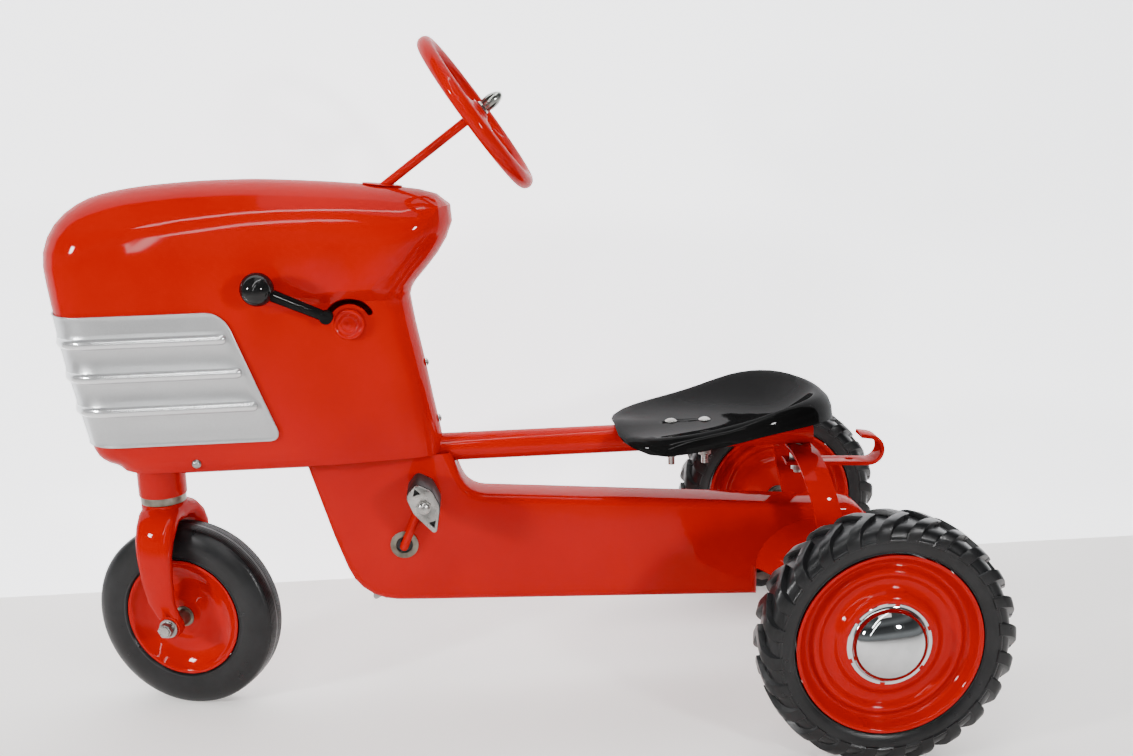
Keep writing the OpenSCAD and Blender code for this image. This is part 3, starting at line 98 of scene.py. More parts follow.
# Node trees.
class Tree:
    """A material's node tree, with short calls for the nodes that the finishes share."""

    def __init__(self, name):
        self.material = bpy.data.materials.new(name)
        self.material.use_nodes = True
        self.nodes = self.material.node_tree.nodes
        self.links = self.material.node_tree.links
        self.shader = self.nodes["Principled BSDF"]
        self.place = self.add("ShaderNodeTexCoord").outputs["Object"]

    def add(self, kind, **values):
        node = self.nodes.new(kind)
        for key, value in values.items():
            setattr(node, key, value)
        return node

    def join(self, a, b):
        self.links.new(a, b)

    def noise(self, scale, detail=4.0, roughness=0.55):
        """Cloudy values, at so many features a metre."""
        node = self.add("ShaderNodeTexNoise")
        node.inputs["Scale"].default_value = scale
        node.inputs["Detail"].default_value = detail
        node.inputs["Roughness"].default_value = roughness
        self.join(self.place, node.inputs["Vector"])
        return node.outputs["Fac"]

    def ramp(self, value, stops):
        """Colours along a value: stops are (position, (r, g, b)) pairs."""
        node = self.add("ShaderNodeValToRGB")
        ramp = node.color_ramp
        while len(ramp.elements) < len(stops):
            ramp.elements.new(0.5)
        for element, (at, colour) in zip(ramp.elements, stops):
            element.position = at
            element.color = (*colour, 1)
        self.join(value, node.inputs["Fac"])
        return node.outputs["Color"]

    def spread(self, value, low, high):
        """The value's range from 0.3 to 0.7 spread over low to high."""
        node = self.add("ShaderNodeMapRange")
        node.inputs["From Min"].default_value = 0.3
        node.inputs["From Max"].default_value = 0.7
        node.inputs["To Min"].default_value = low
        node.inputs["To Max"].default_value = high
        self.join(value, node.inputs["Value"])
        return node.outputs["Result"]

    def bump(self, value, height, strength=1.0):
        """Relief of so many metres."""
        node = self.add("ShaderNodeBump")
        node.inputs["Distance"].default_value = height
        node.inputs["Strength"].default_value = strength
        self.join(value, node.inputs["Height"])
        self.join(node.outputs["Normal"], self.shader.inputs["Normal"])

    def set(self, **values):
        """Constants on the shader's own sockets, with _ for the spaces in their names."""
        for key, value in values.items():
            self.shader.inputs[key.replace("_", " ")].default_value = value
        return self


def enamel(name, deep, bright, rough, coat=0.5, peel=0.1):
    """Stove enamel: cloudy depth of colour under a clear gloss with orange peel."""
    t = Tree(name).set(Coat_Weight=coat, Coat_Roughness=0.05, Coat_IOR=1.45, IOR=1.45,
                       Specular_IOR_Level=0.0)
    cloud = t.noise(7, 2)
    t.join(t.ramp(cloud, [(0.3, deep), (0.7, bright)]), t.shader.inputs["Base Color"])
    t.join(t.spread(t.noise(38, 6), rough * 0.8, rough * 1.35), t.shader.inputs["Roughness"])
    t.bump(t.noise(300, 1), 0.00003, peel)
    return t.material


def steel(name, dark, light, rough, scale=60):
    """Plated or bare steel: patchy tone, fine grain."""
    t = Tree(name).set(Metallic=1.0)
    t.join(t.ramp(t.noise(scale, 6), [(0.3, dark), (0.7, light)]), t.shader.inputs["Base Color"])
    t.join(t.spread(t.noise(scale * 4, 5), rough * 0.75, rough * 1.3), t.shader.inputs["Roughness"])
    t.bump(t.noise(900, 3), 0.00003, 0.3)
    return t.material


def metal_paint(name, dark, light, rough):
    """Aluminium paint: fine flakes that catch the lamps, under a thin clear coat."""
    t = Tree(name).set(Metallic=0.75, Coat_Weight=0.15, Coat_Roughness=0.1)
    flakes = t.noise(2600, 2)
    t.join(t.ramp(flakes, [(0.35, dark), (0.65, light)]), t.shader.inputs["Base Color"])
    t.join(t.spread(t.noise(30, 5), rough * 0.85, rough * 1.2), t.shader.inputs["Roughness"])
    t.bump(flakes, 0.00002, 0.25)
    return t.material


def rubber(name, dark, light, rough):
    """Moulded rubber: dusty bloom over black, with a pebbled skin."""
    t = Tree(name).set(IOR=1.5, Specular_IOR_Level=0.28)
    t.join(t.ramp(t.noise(24, 7, 0.65), [(0.35, dark), (0.7, light)]), t.shader.inputs["Base Color"])
    t.join(t.spread(t.noise(70, 5), rough * 0.8, rough * 1.2), t.shader.inputs["Roughness"])
    t.bump(t.noise(700, 4), 0.00006, 0.2)
    return t.material


FINISH = {
    "red_paint": enamel("red_enamel", (0.30, 0.0010, 0.0004), (0.36, 0.0018, 0.0006), 0.24, 0.27),
    "silver_paint": metal_paint("silver_enamel", (0.34, 0.345, 0.35), (0.50, 0.505, 0.51), 0.34),
    # The beads' brighter silver is a painted highlight on the ribs; their lower roughness is real
    # gloss.
    "rib_silver_painted_highlight": metal_paint("rib_silver_painted_highlight", (0.50, 0.505, 0.51), (0.66, 0.665, 0.67), 0.20),
    "black_paint": enamel("black_enamel", (0.0025, 0.0025, 0.0025), (0.006, 0.006, 0.006), 0.3, 0.13),
    "black_plastic": enamel("black_gloss", (0.004, 0.004, 0.004), (0.007, 0.007, 0.007),
                            0.12, 0.6, 0.02),
    "zinc": steel("zinc_plate", (0.20, 0.195, 0.185), (0.40, 0.39, 0.375), 0.3),
    "oiled_steel": steel("oiled_steel", (0.07, 0.06, 0.05), (0.18, 0.165, 0.15), 0.42),
    "chrome": steel("chrome_plate", (0.46, 0.47, 0.475), (0.54, 0.55, 0.555), 0.05),
    "tyre_rubber": rubber("tyre_rubber", (0.003, 0.003, 0.0033), (0.009, 0.0093, 0.0100), 0.33),
    "pedal_rubber": rubber("pedal_rubber", (0.005, 0.005, 0.005), (0.014, 0.014, 0.014), 0.5),
    "old_zinc": steel("old_zinc", (0.10, 0.09, 0.07), (0.24, 0.22, 0.18), 0.4, 90),
    "dull_chrome": steel("dull_chrome", (0.17, 0.175, 0.16), (0.36, 0.365, 0.34), 0.2, 120),
}


# Making and finishing pieces. Points closer than these are one, in a CAD mesh and in a spun one.
SAME_IN_CAD, SAME_IN_SPUN = 2e-6, 1e-6


def take(piece):
    """Makes one piece the selected and active one."""
    bpy.ops.object.select_all(action="DESELECT")
    piece.select_set(True)
    bpy.context.view_layer.objects.active = piece


def coat(piece, finish):
    """Gives a piece one finish in place of what it had."""
    piece.data.materials.clear()
    piece.data.materials.append(FINISH[finish])


def settle(piece, body, slot, angle=35, replaces=(), finish=None):
    """Last steps of each piece: place, shading, finish, body and the nodes it stands for."""
    take(piece)
    bpy.ops.object.transform_apply(location=True, rotation=True, scale=True)
    bpy.ops.object.shade_smooth_by_angle(angle=math.radians(angle))
    coat(piece, finish or slot)
    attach(piece, body)
    if replaces:
        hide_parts(*replaces)
    return piece


def modifier(piece, kind, **values):
    """Adds a modifier and applies it."""
    take(piece)
    m = piece.modifiers.new(kind.lower(), kind)
    for key, value in values.items():
        setattr(m, key, value)
    bpy.ops.object.modifier_apply(modifier=m.name)


# A rim's faces agree less than RIM_TURN; the sheet's points that shade it agree with its face
# more than SHEET_TURN, and are among the SHEET_NEAR nearest.
RIM_TURN, SHEET_TURN, SHEET_NEAR = 0.77, 0.9, 24


def true_normals(piece):
    """Gives the rims of openings the shading of the smooth sheet that they were cut from."""
    mesh = piece.data
    faces_at = {}
    for face in mesh.polygons:
        for key in face.edge_keys:
            faces_at.setdefault(key, []).append(face.normal)
    rim = set()
    for key, normals in faces_at.items():
        if len(normals) != 2 or normals[0].dot(normals[1]) < RIM_TURN:
            rim.update(key)
    sheet = KDTree(len(mesh.vertices) - len(rim))
    for v in mesh.vertices:
        if v.index not in rim:
            sheet.insert(v.co, v.index)
    sheet.balance()
    shown = [Vector(n.vector) for n in mesh.corner_normals]
    smooth = [Vector(n.vector) for n in mesh.vertex_normals]
    for face in mesh.polygons:
        for loop in face.loop_indices:
            vertex = mesh.loops[loop].vertex_index
            if vertex not in rim:
                continue
            mean = Vector()
            for _, index, far in sheet.find_n(mesh.vertices[vertex].co, SHEET_NEAR):
                if smooth[index].dot(face.normal) > SHEET_TURN:
                    mean += smooth[index] / max(far, 1e-4) ** 2
            if mean.length > 0:
                shown[loop] = mean.normalized()
    mesh.normals_split_custom_set(shown)


def finer(node, angle=35, bevel=0.0, flat=0.5):
    """A merged copy of a CAD node that stands for it; faces within flat degrees become one."""
    piece = NODES[node].copy()
    piece.data = NODES[node].data.copy()
    piece.name = node + "_finished"
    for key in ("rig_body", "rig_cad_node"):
        del piece[key]
    piece.parent = None
    bpy.context.scene.collection.objects.link(piece)
    take(piece)
    bpy.ops.object.mode_set(mode="EDIT")
    bpy.ops.mesh.select_all(action="SELECT")
    bpy.ops.mesh.remove_doubles(threshold=SAME_IN_CAD)
    if flat:
        bpy.ops.mesh.dissolve_limited(angle_limit=math.radians(flat))
    bpy.ops.object.mode_set(mode="OBJECT")
    if bevel:
        modifier(piece, "BEVEL", width=bevel, segments=2, limit_method="ANGLE",
                 angle_limit=math.radians(angle))
    return settle(piece, BODY_OF[node], SLOT_OF[node], angle, (node,), AGED.get(node))


def draw(name, points):
    """A line of points, extruded one from the other in edit mode."""
    bpy.ops.object.select_all(action="DESELECT")
    bpy.ops.mesh.primitive_plane_add(size=0.001, location=points[0])
    piece = bpy.context.object
    piece.name = name
    bpy.ops.object.mode_set(mode="EDIT")
    bpy.ops.mesh.select_all(action="SELECT")
    bpy.ops.mesh.merge(type="CENTER")
    for a, b in zip(points, points[1:]):
        bpy.ops.mesh.extrude_region_move(TRANSFORM_OT_translate={"value": b - a})
    return piece


def spun(name, profile, centre, axis, steps):
    """A closed profile of (radius, distance along the axis) points, spun round the axis."""
    axis = Vector(axis).normalized()
    up = Vector((0, 0, 1))
    out = (up - axis * up.dot(axis)).normalized()
    points = [Vector(centre) + out * r + axis * along for r, along in profile]
    piece = draw(name, points + points[:1])
    bpy.ops.mesh.select_all(action="SELECT")
    bpy.ops.mesh.remove_doubles(threshold=SAME_IN_SPUN)
    bpy.ops.mesh.select_all(action="SELECT")
    bpy.ops.mesh.spin(steps=steps, angle=math.tau, center=centre, axis=axis)
    bpy.ops.mesh.select_all(action="SELECT")
    bpy.ops.mesh.remove_doubles(threshold=SAME_IN_SPUN)
    bpy.ops.mesh.normals_make_consistent(inside=False)
    bpy.ops.object.mode_set(mode="OBJECT")
    return piece


def joined(pieces, name):
    """Several meshes as one piece."""
    bpy.ops.object.select_all(action="DESELECT")
    for piece in pieces:
        piece.select_set(True)
    bpy.context.view_layer.objects.active = pieces[0]
    bpy.ops.object.join()
    pieces[0].name = name
    return pieces[0]


def cut(piece, cutter, how="DIFFERENCE"):
    """Cuts one mesh with another, which is then taken away."""
    modifier(piece, "BOOLEAN", object=cutter, operation=how, solver="EXACT")
    bpy.data.objects.remove(cutter)
    return piece


def turned_copies(piece, count, centre, axis, first=0.0):
    """Copies of a mesh, each with a mesh of its own, evenly turned round an axis."""
    out = []
    for k in range(count):
        twin = piece.copy()
        twin.data = piece.data.copy()
        bpy.context.scene.collection.objects.link(twin)
        turn = Matrix.Rotation(math.radians(first + 360 * k / count), 4, axis)
        twin.data.transform(Matrix.Translation(centre) @ turn @ Matrix.Translation(-Vector(centre)))
        out.append(twin)
    bpy.data.objects.remove(piece)
    return out


def bar(name, size, centre, turn=(0, 0, 0), taper=1.0):
    """A box whose top is drawn in, turned and set down at its place."""
    bpy.ops.object.select_all(action="DESELECT")
    bpy.ops.mesh.primitive_cube_add(size=1, location=centre, rotation=turn, scale=size)
    piece = bpy.context.object
    piece.name = name
    bpy.ops.object.transform_apply(location=False, rotation=False, scale=True)
    if taper != 1:
        for v in piece.data.vertices:
            if v.co.z > 0:
                v.co.x *= taper
    bpy.ops.object.transform_apply(location=True, rotation=True, scale=True)
    return piece


def walled(path, t):
    """Closed outline of a sheet of thickness t, whose outer face follows the path."""
    path = [Vector(p) for p in path]
    back = []
    for i, p in enumerate(path):
        a, b = path[max(0, i - 1)], path[min(len(path) - 1, i + 1)]
        d = (b - a).normalized()
        back.append(p - t * Vector((-d.y, d.x)))
    return path + back[::-1]


def smooth_line(points, steps):
    """Points along a curve through the given (radius, distance) points."""
    out = []
    last = len(points) - 1
    for i in range(last):
        p = [Vector(points[max(0, min(last, k))]) for k in (i - 1, i, i + 1, i + 2)]
        for k in range(steps):
            t = k / steps
            slope = (p[2] - p[0]) * t
            bend = (2 * p[0] - 5 * p[1] + 4 * p[2] - p[3]) * t * t
            twist = (3 * p[1] - p[0] - 3 * p[2] + p[3]) * t * t * t
            out.append(0.5 * (2 * p[1] + slope + bend + twist))
    return out + [Vector(points[last])]


# Every node of the frame gets its slot's finish.
for node, piece in NODES.items():
    coat(piece, SLOT_OF[node])

AGED = {"crank_races": "old_zinc", "head_collar": "old_zinc", "front_hub": "old_zinc"}
# Nodes that get merged copies: the angle that counts as an edge, and the bevel's width.
SOFT_EDGED = {
    "seat_pan": (50, 0), "fork": (45, 0),
    "case_left": (40, 0), "case_right": (40, 0), "housing_left": (40, 0), "housing_right": (40, 0),
    "arch_strap": (40, 0.0006), "hitch_strap": (40, 0.0006), "steering_wheel": (40, 0.0008),
    "seat_bolts": (40, 0.0003), "seat_nuts": (30, 0.0004),
    "front_axle_nuts": (30, 0.0005), "axle_nuts": (30, 0.0005), "hitch_bolt": (30, 0.0004),
    "stem_nut": (30, 0.0005), "steering_arm": (35, 0.0005), "head_tube": (35, 0.0005),
    "head_collar": (35, 0.0006), "main_tube": (35, 0.0003), "crank_races": (35, 0.0005),
    "column_grommet": (35, 0.0003), "column_bracket": (35, 0.0006), "crank": (40, 0),
    "lever_arm": (40, 0), "lever_knob": (40, 0),
    "pedal_plates_left": (40, 0.0004), "pedal_plates_right": (40, 0.0004),
    "pedal_rubber_left": (40, 0.0008), "pedal_rubber_right": (40, 0.0008),
    "front_hub": (35, 0.0003),
}
for node, (angle, bevel) in SOFT_EDGED.items():
    finer(node, angle, bevel)
true_normals(finer("hood_shell", 40, flat=0))
finer("grille_panel", 50, flat=0)


# Tyres.
FRONT_AT, FRONT_AXIS = (Vector(JOINT["front_wheel_spin"][k]) for k in ("pos_m", "axis"))
REAR_AT = Vector(JOINT["rear_axle_spin"]["pos_m"])
REAR_SIDE = 0.2375
FRONT_RIM, FRONT_R = 0.0690, 0.108
REAR_RIM, REAR_R = 0.0963, 0.133
LUGS, FIRST_LUG = 24, 6.8
ARM_SIZE, ARM_AT, ARM_TURN, ARM_TAPER = (0.0108, 0.045, 0.040), (-0.0125, 0.0125, 0.122), 45, 0.74
ALONG_AXLE = Vector((0, 1, 0))


def front_tyre():
    """Sidewall with a bead line and a shoulder step, tread with fine ribs round it."""
    tread = [(FRONT_R, 0.0006)]
    for k in range(5):
        y = 0.0022 + 0.0026 * k
        r = FRONT_R - 0.0011 * (y / 0.0135) ** 2
        tread += [(r, y), (r - 0.0011, y + 0.0003), (r - 0.0011, y + 0.0009), (r, y + 0.0012)]
    wall = smooth_line([(0.1063, 0.0152), (0.1045, 0.0171), (0.0995, 0.0199), (0.0925, 0.0219),
                        (0.085, 0.0222), (0.078, 0.0213), (0.0736, 0.0205)], 4)
    bead = [(0.0728, 0.0209), (0.0716, 0.0209), (0.0708, 0.0200), (0.0694, 0.0176),
            (FRONT_RIM, 0.0158)]
    half = tread + [tuple(p) for p in wall] + bead
    profile = half + [(r, -y) for r, y in reversed(half)]
    piece = spun("front_tyre_ribbed", profile, FRONT_AT, FRONT_AXIS, 96)
    return settle(piece, "front_wheel", "tyre_rubber", 40, ("front_tyre",))


front_tyre()


def rear_place(side):
    """Middle of a rear wheel and the direction that points outwards; side is 1 on the right."""
    return REAR_AT + Vector((0, side * REAR_SIDE, 0)), Vector((0, side, 0))


def lug(side):
    """One V lug at the top of the tyre: two tapered bars trimmed to the tread's curve."""
    centre, axis = rear_place(side)
    crown = smooth_line([(0.1115, 0.0262), (0.1195, 0.0258), (0.1268, 0.0232), (0.1313, 0.0185),
                         (0.1327, 0.0110), (REAR_R, 0.0)], 4)
    half = [(0.118, 0.0), (0.118, 0.0180), (0.1105, 0.0225)] + [tuple(p) for p in crown]
    ring = spun("ring", half + [(r, -y) for r, y in half[-2:0:-1]], centre, axis, 120)
    x, y, z = ARM_AT
    arms = [bar("arm", ARM_SIZE, centre + Vector((x, s * y, z)), (0, 0, math.radians(ARM_TURN * s)),
                ARM_TAPER) for s in (-1, 1)]
    cut(arms[0], arms[1], "UNION")
    piece = cut(arms[0], ring, "INTERSECT")
    take(piece)
    bpy.ops.object.mode_set(mode="EDIT")
    bpy.ops.mesh.select_all(action="SELECT")
    bpy.ops.mesh.remove_doubles(threshold=0.0002)
    bpy.ops.mesh.dissolve_limited(angle_limit=math.radians(1))
    bpy.ops.object.mode_set(mode="OBJECT")
    modifier(piece, "BEVEL", width=0.0008, segments=2, limit_method="ANGLE",
             angle_limit=math.radians(38))
    return piece


def rear_tyre(side, name, body):
    """Carcass with a bead and a ridge that the lugs run down to, and the V lugs round it."""
    centre, axis = rear_place(side)
    shoulder = [(0.1268, 0.0090), (0.1255, 0.0158), (0.1222, 0.0208), (0.1172, 0.0238),
                (0.1146, 0.0244)]
    wall = [(0.1112, 0.0244), (0.1075, 0.0240), (0.1030, 0.0228), (0.0995, 0.0212)]
    half = [(0.1270, 0.0)] + [tuple(p) for p in smooth_line(shoulder, 4)]
    half += [(0.1140, 0.0252), (0.1130, 0.0255), (0.1120, 0.0250)]
    half += [tuple(p) for p in smooth_line(wall, 4)]
    half += [(0.0988, 0.0216), (0.0980, 0.0214), (0.0974, 0.0200), (REAR_RIM, 0.0165)]
    profile = half + [(r, -y) for r, y in reversed(half[1:])]
    carcass = spun(name, profile, centre, axis, 120)
    lugs = turned_copies(lug(side), LUGS, centre, ALONG_AXLE, FIRST_LUG)
    node = name.replace("_lugged", "")
    return settle(joined([carcass] + lugs, name), body, "tyre_rubber", 38, (node,))


rear_tyre(1, "rear_tyre_right_lugged", "rear_axle")
rear_tyre(-1, "rear_tyre_left_lugged", "free_wheel")


# Wheel discs: two pressed dishes back to back, with the rim's well between them.
SHEET = 0.0016


def disc(name, path, well, centre, axis, body, node):
    """Two dishes on a path of (radius, distance) points, and the well at its own such point."""
    path = [path[0]] + [tuple(p) for p in smooth_line(path[1:], 3)]
    t = SHEET
    dishes = [spun(name, walled(path, -t), centre, Vector(axis) * way, 120) for way in (1, -1)]
    r, y = well
    dishes.append(spun(name, [(r, -y), (r, y), (r + t, y), (r + t, -y)], centre, axis, 96))
    return settle(joined(dishes, name), body, "red_paint", 50, (node,))


FRONT_DISH = [(0.0121, 0.0130), (0.0160, 0.0129), (0.0220, 0.0123), (0.0300, 0.0080), (0.0400, 0.0060),
              (0.0500, 0.0075), (0.0592, 0.0120), (0.0632, 0.0150), (0.0662, 0.0178), (0.0687, 0.0180)]
REAR_DISH = [(0.0175, 0.0175), (0.0440, 0.0175), (0.0480, 0.0172), (0.0515, 0.0150), (0.0550, 0.0112),
             (0.0600, 0.0090), (0.0668, 0.0090), (0.0700, 0.0108), (0.0724, 0.0128), (0.0750, 0.0132),
             (0.0772, 0.0116), (0.0800, 0.0088), (0.0840, 0.0080), (0.0875, 0.0104), (0.0905, 0.0150),
             (0.0930, 0.0200), (0.0945, 0.0210), (0.0960, 0.0210)]
FRONT_WELL, REAR_WELL = (0.0625, 0.0130), (0.0898, 0.0120)
disc("front_disc_pressed", FRONT_DISH, FRONT_WELL, FRONT_AT, FRONT_AXIS, "front_wheel", "front_disc")
disc("rear_disc_right_pressed", REAR_DISH, REAR_WELL, *rear_place(1), "rear_axle", "rear_disc_right")
disc("rear_disc_left_pressed", REAR_DISH, REAR_WELL, *rear_place(-1), "free_wheel", "rear_disc_left")


# Hub caps: bright domes with a flange that is notched in six places.
DOME_R, DOME_RISE, DOME_MIDDLE_R, DOME_FOOT = 0.0385, 0.0200, 0.0003, 0.0196
NOTCHES, FIRST_NOTCH, NOTCH_SIZE, NOTCH_R, NOTCH_OUT = 6, 9, (0.0052, 0.006, 0.0052), 0.0437, 0.0195


def hub_cap(side, word, body):
    """One cap, as a thin dome whose inner face follows the outer."""
    centre, axis = rear_place(side)
    path = [(0.0440, 0.0192), (0.0434, 0.0198), (0.0412, 0.0197), (0.0399, 0.0201), (0.0391, 0.0210)]
    path += [(DOME_MIDDLE_R + DOME_R * math.cos(q), DOME_FOOT + DOME_RISE * math.sin(q))
             for q in (math.radians(a) for a in range(8, 90, 4))]
    outline = [Vector(p) for p in path] + [Vector((0.0, 0.0396)), Vector((0.0, 0.0384))]
    inner = [Vector((r - 0.0006, y - 0.0011)) for r, y in path[:0:-1]] + [Vector((0.0440, 0.0181))]
    cap = spun("rear_cap_" + word + "_bright", outline + inner, centre, axis, 120)
    notch = bar("notch", NOTCH_SIZE, centre + axis * NOTCH_OUT + Vector((0, 0, NOTCH_R)))
    cut(cap, joined(turned_copies(notch, NOTCHES, centre, ALONG_AXLE, FIRST_NOTCH), "notches"))
    return settle(cap, body, "chrome", 32, ("rear_cap_" + word,))


hub_cap(1, "right", "rear_axle")
hub_cap(-1, "left", "free_wheel")


# Grille: crisp beads over the ribs, from the rear edge of the panel to the turn of the nose.
RIB_HEIGHTS = (0.3619, 0.3995, 0.4368)
RIB_SHAPE = [(-0.0066, -0.0005), (-0.0058, 0.0017), (-0.0042, 0.0036), (-0.0020, 0.0046), (0.0, 0.0048),
             (0.0022, 0.0045), (0.0044, 0.0034), (0.0058, 0.0016), (0.0066, -0.0005)]
NOSE_TURN_X, RIB_END_LENGTH, RIB_END_GAP, BESIDE_RIB = -0.430, 0.007, 0.0075, 0.0095
RIB_END_STEPS, RIB_SIDE_STEPS, RIB_GONE_AT, RIB_SINKS_OVER, RAY_FROM = 6, 12, 14, 26, 0.3
PANEL_REAR_X, PANEL_LOW_Z, PANEL_LEAN = -0.2554, 0.3319, 0.36


def grille_bead(panel, z, side):
    """One bead, laid on the plain panel above and below the rib."""
    end_x = PANEL_REAR_X - PANEL_LEAN * (z - PANEL_LOW_Z) - RIB_END_GAP
    ways = [(end_x - RIB_END_LENGTH * k / RIB_END_STEPS, math.pi / 2)
            for k in range(RIB_END_STEPS + 1)]
    ways += [(end_x + (NOSE_TURN_X - end_x) * k / RIB_SIDE_STEPS, math.pi / 2)
             for k in range(2, RIB_SIDE_STEPS + 1)]
    ways += [(NOSE_TURN_X, math.radians(a)) for a in range(84, 12, -6)]
    rows = []
    for k, (x, turn) in enumerate(ways):
        out = Vector((-math.cos(turn), side * math.sin(turn), 0))
        middle = Vector((x, 0, z))
        hits = [panel.ray_cast(middle + out * RAY_FROM + Vector((0, 0, dz)), -out)
                for dz in (-BESIDE_RIB, BESIDE_RIB)]
        far = [(middle - hit[1]).to_2d().length for hit in hits if hit[0]]
        base = middle + out * (sum(far) / len(far))
        grow = math.sqrt(1 - (1 - k / RIB_END_STEPS) ** 2) if k < RIB_END_STEPS else 1.0
        sink = max(0.0, min(1.0, (math.degrees(turn) - RIB_GONE_AT) / RIB_SINKS_OVER))
        rows.append([base + out * (h * grow * sink) + Vector((0, 0, w * max(grow, 0.15)))
                     for w, h in RIB_SHAPE])
    along, across = len(rows) - 1, len(RIB_SHAPE) - 1
    bpy.ops.object.select_all(action="DESELECT")
    bpy.ops.mesh.primitive_grid_add(x_subdivisions=along, y_subdivisions=across, size=1)
    bead = bpy.context.object
    for v in bead.data.vertices:
        v.co = rows[round((v.co.x + 0.5) * along)][round((v.co.y + 0.5) * across)]
    take(bead)
    bpy.ops.object.mode_set(mode="EDIT")
    bpy.ops.mesh.select_all(action="SELECT")
    if side < 0:
        bpy.ops.mesh.flip_normals()
    bpy.ops.object.mode_set(mode="OBJECT")
    modifier(bead, "SUBSURF", levels=1, render_levels=1)
    modifier(bead, "SOLIDIFY", thickness=0.0006, offset=-1)
    return bead


def grille_beads():
    """The three ribs' beads on both sides, in a brighter silver than the panel, which paints a
    highlight on the ribs.
    """
    panel = bpy.data.objects["grille_panel_finished"]
    beads = [grille_bead(panel, z, side) for z in RIB_HEIGHTS for side in (-1, 1)]
    piece = joined(beads, "grille_beads")
    return settle(piece, BODY_OF["grille_panel"], "silver_paint", 70, (), "rib_silver_painted_highlight")


grille_beads()


# The lever's boss: a pressed disc with a raised rim, a middle ring and a small dome.
def lever_boss():
    face = [(0.0, 0.0036), (0.0014, 0.0034), (0.0026, 0.0028), (0.0034, 0.0018), (0.0062, 0.0014),
            (0.0078, 0.0015), (0.0086, 0.0023), (0.0094, 0.0025), (0.0102, 0.0023), (0.0110, 0.0015),
            (0.0126, 0.0014), (0.0136, 0.0024), (0.0147, 0.0030), (0.0159, 0.0027), (0.0168, 0.0015),
            (0.0172, -0.0008)]
    shank = [(0.0148, -0.0008), (0.0148, -0.0024), (0.0058, -0.0024), (0.0058, -0.0160),
             (0.0, -0.0160)]
    centre = Vector(JOINT["lever_swing"]["pos_m"])
    boss = spun("lever_boss_ringed", face + shank, centre, (0, -1, 0), 64)
    return settle(boss, BODY_OF["lever_pin"], "red_paint", 50, ("lever_pin",))


lever_boss()


# The acorn nut on the steering wheel, with flutes down its sides.
def acorn_nut():
    centre, axis = (Vector(JOINT["steering_turn"][k]) for k in ("pos_m", "axis"))
    outline = [(0.0030, 0.0066), (0.0078, 0.0066), (0.0082, 0.0072), (0.0082, 0.0094), (0.0076, 0.0102)]
    dome = [(0.0070, 0.0112), (0.0076, 0.0160), (0.0078, 0.0205), (0.0070, 0.0262), (0.0050, 0.0312),
            (0.0024, 0.0342), (0.0, 0.0350)]
    outline += [tuple(v) for v in smooth_line(dome, 4)]
    nut = spun("steering_nut_fluted", outline + [(0.0, 0.0120), (0.0030, 0.0110)], centre, axis, 64)
    tilt = (0, math.atan2(axis.x, axis.z), 0)
    flute_at = centre + axis * 0.0222 + Vector((0, 0.0086, 0))
    flute = bar("flute", (0.0019, 0.0036, 0.0210), flute_at, tilt, 0.5)
    cut(nut, joined(turned_copies(flute, 10, centre, axis), "flutes"))
    return settle(nut, BODY_OF["steering_nut"], "chrome", 35, ("steering_nut",), "dull_chrome")


acorn_nut()


# Stage: a pale paper floor with a bright paper wall close behind, and soft lamps.
def paper(name, tone, glow, fade=None, from_behind=False):
    """Paper with a glow of its own, faintly cloudy. The glow may fall between two distances from the
    middle, which paints a pool of light round the middle, and the back of the sheet may be clear."""
    t = Tree(name).set(Roughness=0.9, Specular_IOR_Level=0.2, Emission_Strength=glow)
    cloud = t.ramp(t.noise(1.5, 3), [(0.3, tuple(0.95 * c for c in tone)), (0.7, tone)])
    t.join(cloud, t.shader.inputs["Base Color"])
    t.join(cloud, t.shader.inputs["Emission Color"])
    if fade:
        far, falling = t.add("ShaderNodeVectorMath", operation="LENGTH"), t.add("ShaderNodeMapRange")
        t.join(t.place, far.inputs[0])
        t.join(far.outputs["Value"], falling.inputs["Value"])
        ends = dict(zip(("From Min", "From Max", "To Min", "To Max"), (*fade, glow, 0.15 * glow)))
        for word, value in ends.items():
            falling.inputs[word].default_value = value
        t.join(falling.outputs["Result"], t.shader.inputs["Emission Strength"])
    if from_behind:
        side, clear = t.add("ShaderNodeNewGeometry"), t.add("ShaderNodeBsdfTransparent")
        mix = t.add("ShaderNodeMixShader")
        t.join(side.outputs["Backfacing"], mix.inputs[0])
        t.join(t.shader.outputs[0], mix.inputs[1])
        t.join(clear.outputs[0], mix.inputs[2])
        t.join(mix.outputs[0], t.nodes["Material Output"].inputs["Surface"])
    return t.material


def sheet_of_paper(name, size, centre, turn, material):
    """A flat sheet of the stage."""
    bpy.ops.object.select_all(action="DESELECT")
    bpy.ops.mesh.primitive_grid_add(x_subdivisions=8, y_subdivisions=8, size=1, location=centre,
                                    rotation=turn)
    sheet = bpy.context.object
    sheet.name = name
    sheet.scale = (*size, 1)
    bpy.ops.object.transform_apply(location=True, rotation=True, scale=True)
    sheet.data.materials.append(material)


def lamp(name, at, aim, size, power, along=(0, 0, 1), spread=180):
    """A soft lamp that faces its aim, with its second side turned along a direction."""
    light = bpy.data.lights.new(name, "AREA")
    light.shape = "RECTANGLE"
    light.size, light.size_y = size
    light.energy = power
    light.spread = math.radians(spread)
    holder = bpy.data.objects.new(name, light)
    bpy.context.scene.collection.objects.link(holder)
    back = (Vector(at) - Vector(aim)).normalized()
    across = Vector(along).cross(back).normalized()
    turn = Matrix((across, back.cross(across), back)).transposed()
    holder.matrix_world = Matrix.Translation(at) @ turn.to_4x4()


HOOD_MIDDLE = (-0.25, -0.05, 0.5)


def strip(name, a, b, width, shine):
    """A long thin lamp from a to b that faces the hood; shine is its own brightness."""
    a, b = Vector(a), Vector(b)
    length = (b - a).length
    power = shine * math.pi * width * length
    lamp(name, (a + b) / 2, HOOD_MIDDLE, (width, length), power, b - a)
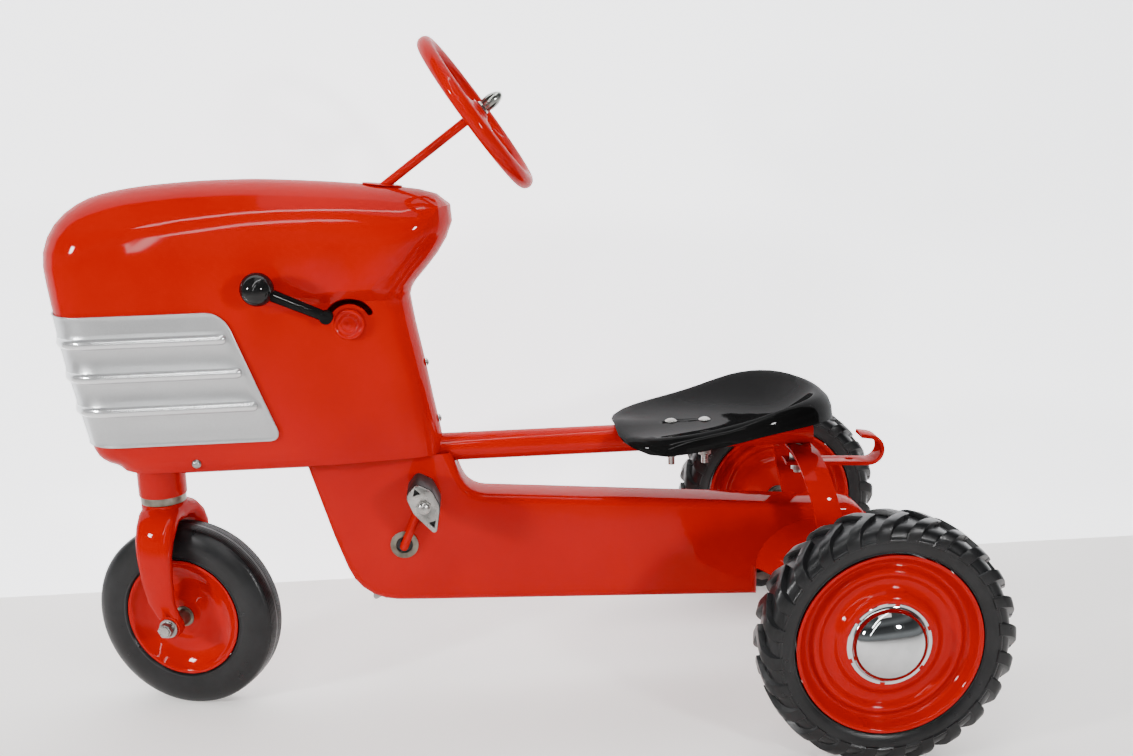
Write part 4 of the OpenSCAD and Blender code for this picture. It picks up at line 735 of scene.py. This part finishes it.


# The floor's glow is a painted pool of light: full near the middle, fading between 0.8 and 1.5 m.
floor_paper = paper("paper_floor", (0.80, 0.775, 0.755), 0.45, (0.8, 1.5))
sheet_of_paper("floor", (24.0, 24.0), (0, 0, 0), (0, 0, 0), floor_paper)
wall_paper = paper("paper_wall", (0.84, 0.85, 0.87), 2.6, None, True)
sheet_of_paper("wall", (5.0, 3.6), (0, 0.345, 1.8), (math.pi / 2, 0, 0), wall_paper)
lamp("left_lamp", (-1.9, -1.2, 0.95), (0, 0, 0.4), (0.24, 0.24), 7.2, spread=70)
lamp("right_lamp", (1.15, -1.9, 0.9), (0, 0, 0.4), (0.20, 0.20), 4.8, spread=70)
lamp("top_lamp", (0.2, -0.5, 2.7), (0.1, 0, 0), (2.0, 1.4), 16, (1, 0, 0))
strip("upper_strip", (-0.95, -1.83, 1.36), (-0.11, -0.98, 2.34), 0.09, 26)
strip("rear_strip", (-0.11, -0.98, 2.34), (0.70, -0.15, 2.40), 0.09, 26)
strip("lower_strip", (-0.90, -2.02, 0.52), (-0.17, -1.64, 1.78), 0.06, 24)


# Room round the stage: grey tones by height light the tractor, and the camera sees PALE.
ROOM_TONES = ((0.0, 0.30), (0.10, 0.36), (0.22, 0.10), (0.45, 0.05), (0.62, 0.24), (0.8, 0.10))
PALE = (2.3, 2.32, 2.4, 1)


def studio_room():
    """The world's colour; the ramp's last stop is at its top end."""
    world = bpy.data.worlds.new("studio")
    bpy.context.scene.world = world
    world.use_nodes = True
    nodes, links = world.node_tree.nodes, world.node_tree.links
    way, height = nodes.new("ShaderNodeTexCoord"), nodes.new("ShaderNodeSeparateXYZ")
    room, seen = nodes.new("ShaderNodeValToRGB"), nodes.new("ShaderNodeLightPath")
    shown = nodes.new("ShaderNodeMixRGB")
    links.new(way.outputs["Generated"], height.inputs[0])
    links.new(height.outputs["Z"], room.inputs["Fac"])
    stops = room.color_ramp.elements
    for at, tone in ROOM_TONES:
        stop = stops[0] if at == 0 else stops.new(at)
        stop.color = (0.95 * tone, tone, 1.02 * tone, 1)
    stops[-1].color = (0.1, 0.1, 0.1, 1)
    shown.inputs["Color2"].default_value = PALE
    links.new(seen.outputs["Is Camera Ray"], shown.inputs["Fac"])
    links.new(room.outputs["Color"], shown.inputs["Color1"])
    links.new(shown.outputs["Color"], nodes["Background"].inputs["Color"])
    nodes["Background"].inputs["Strength"].default_value = 1.0


studio_room()
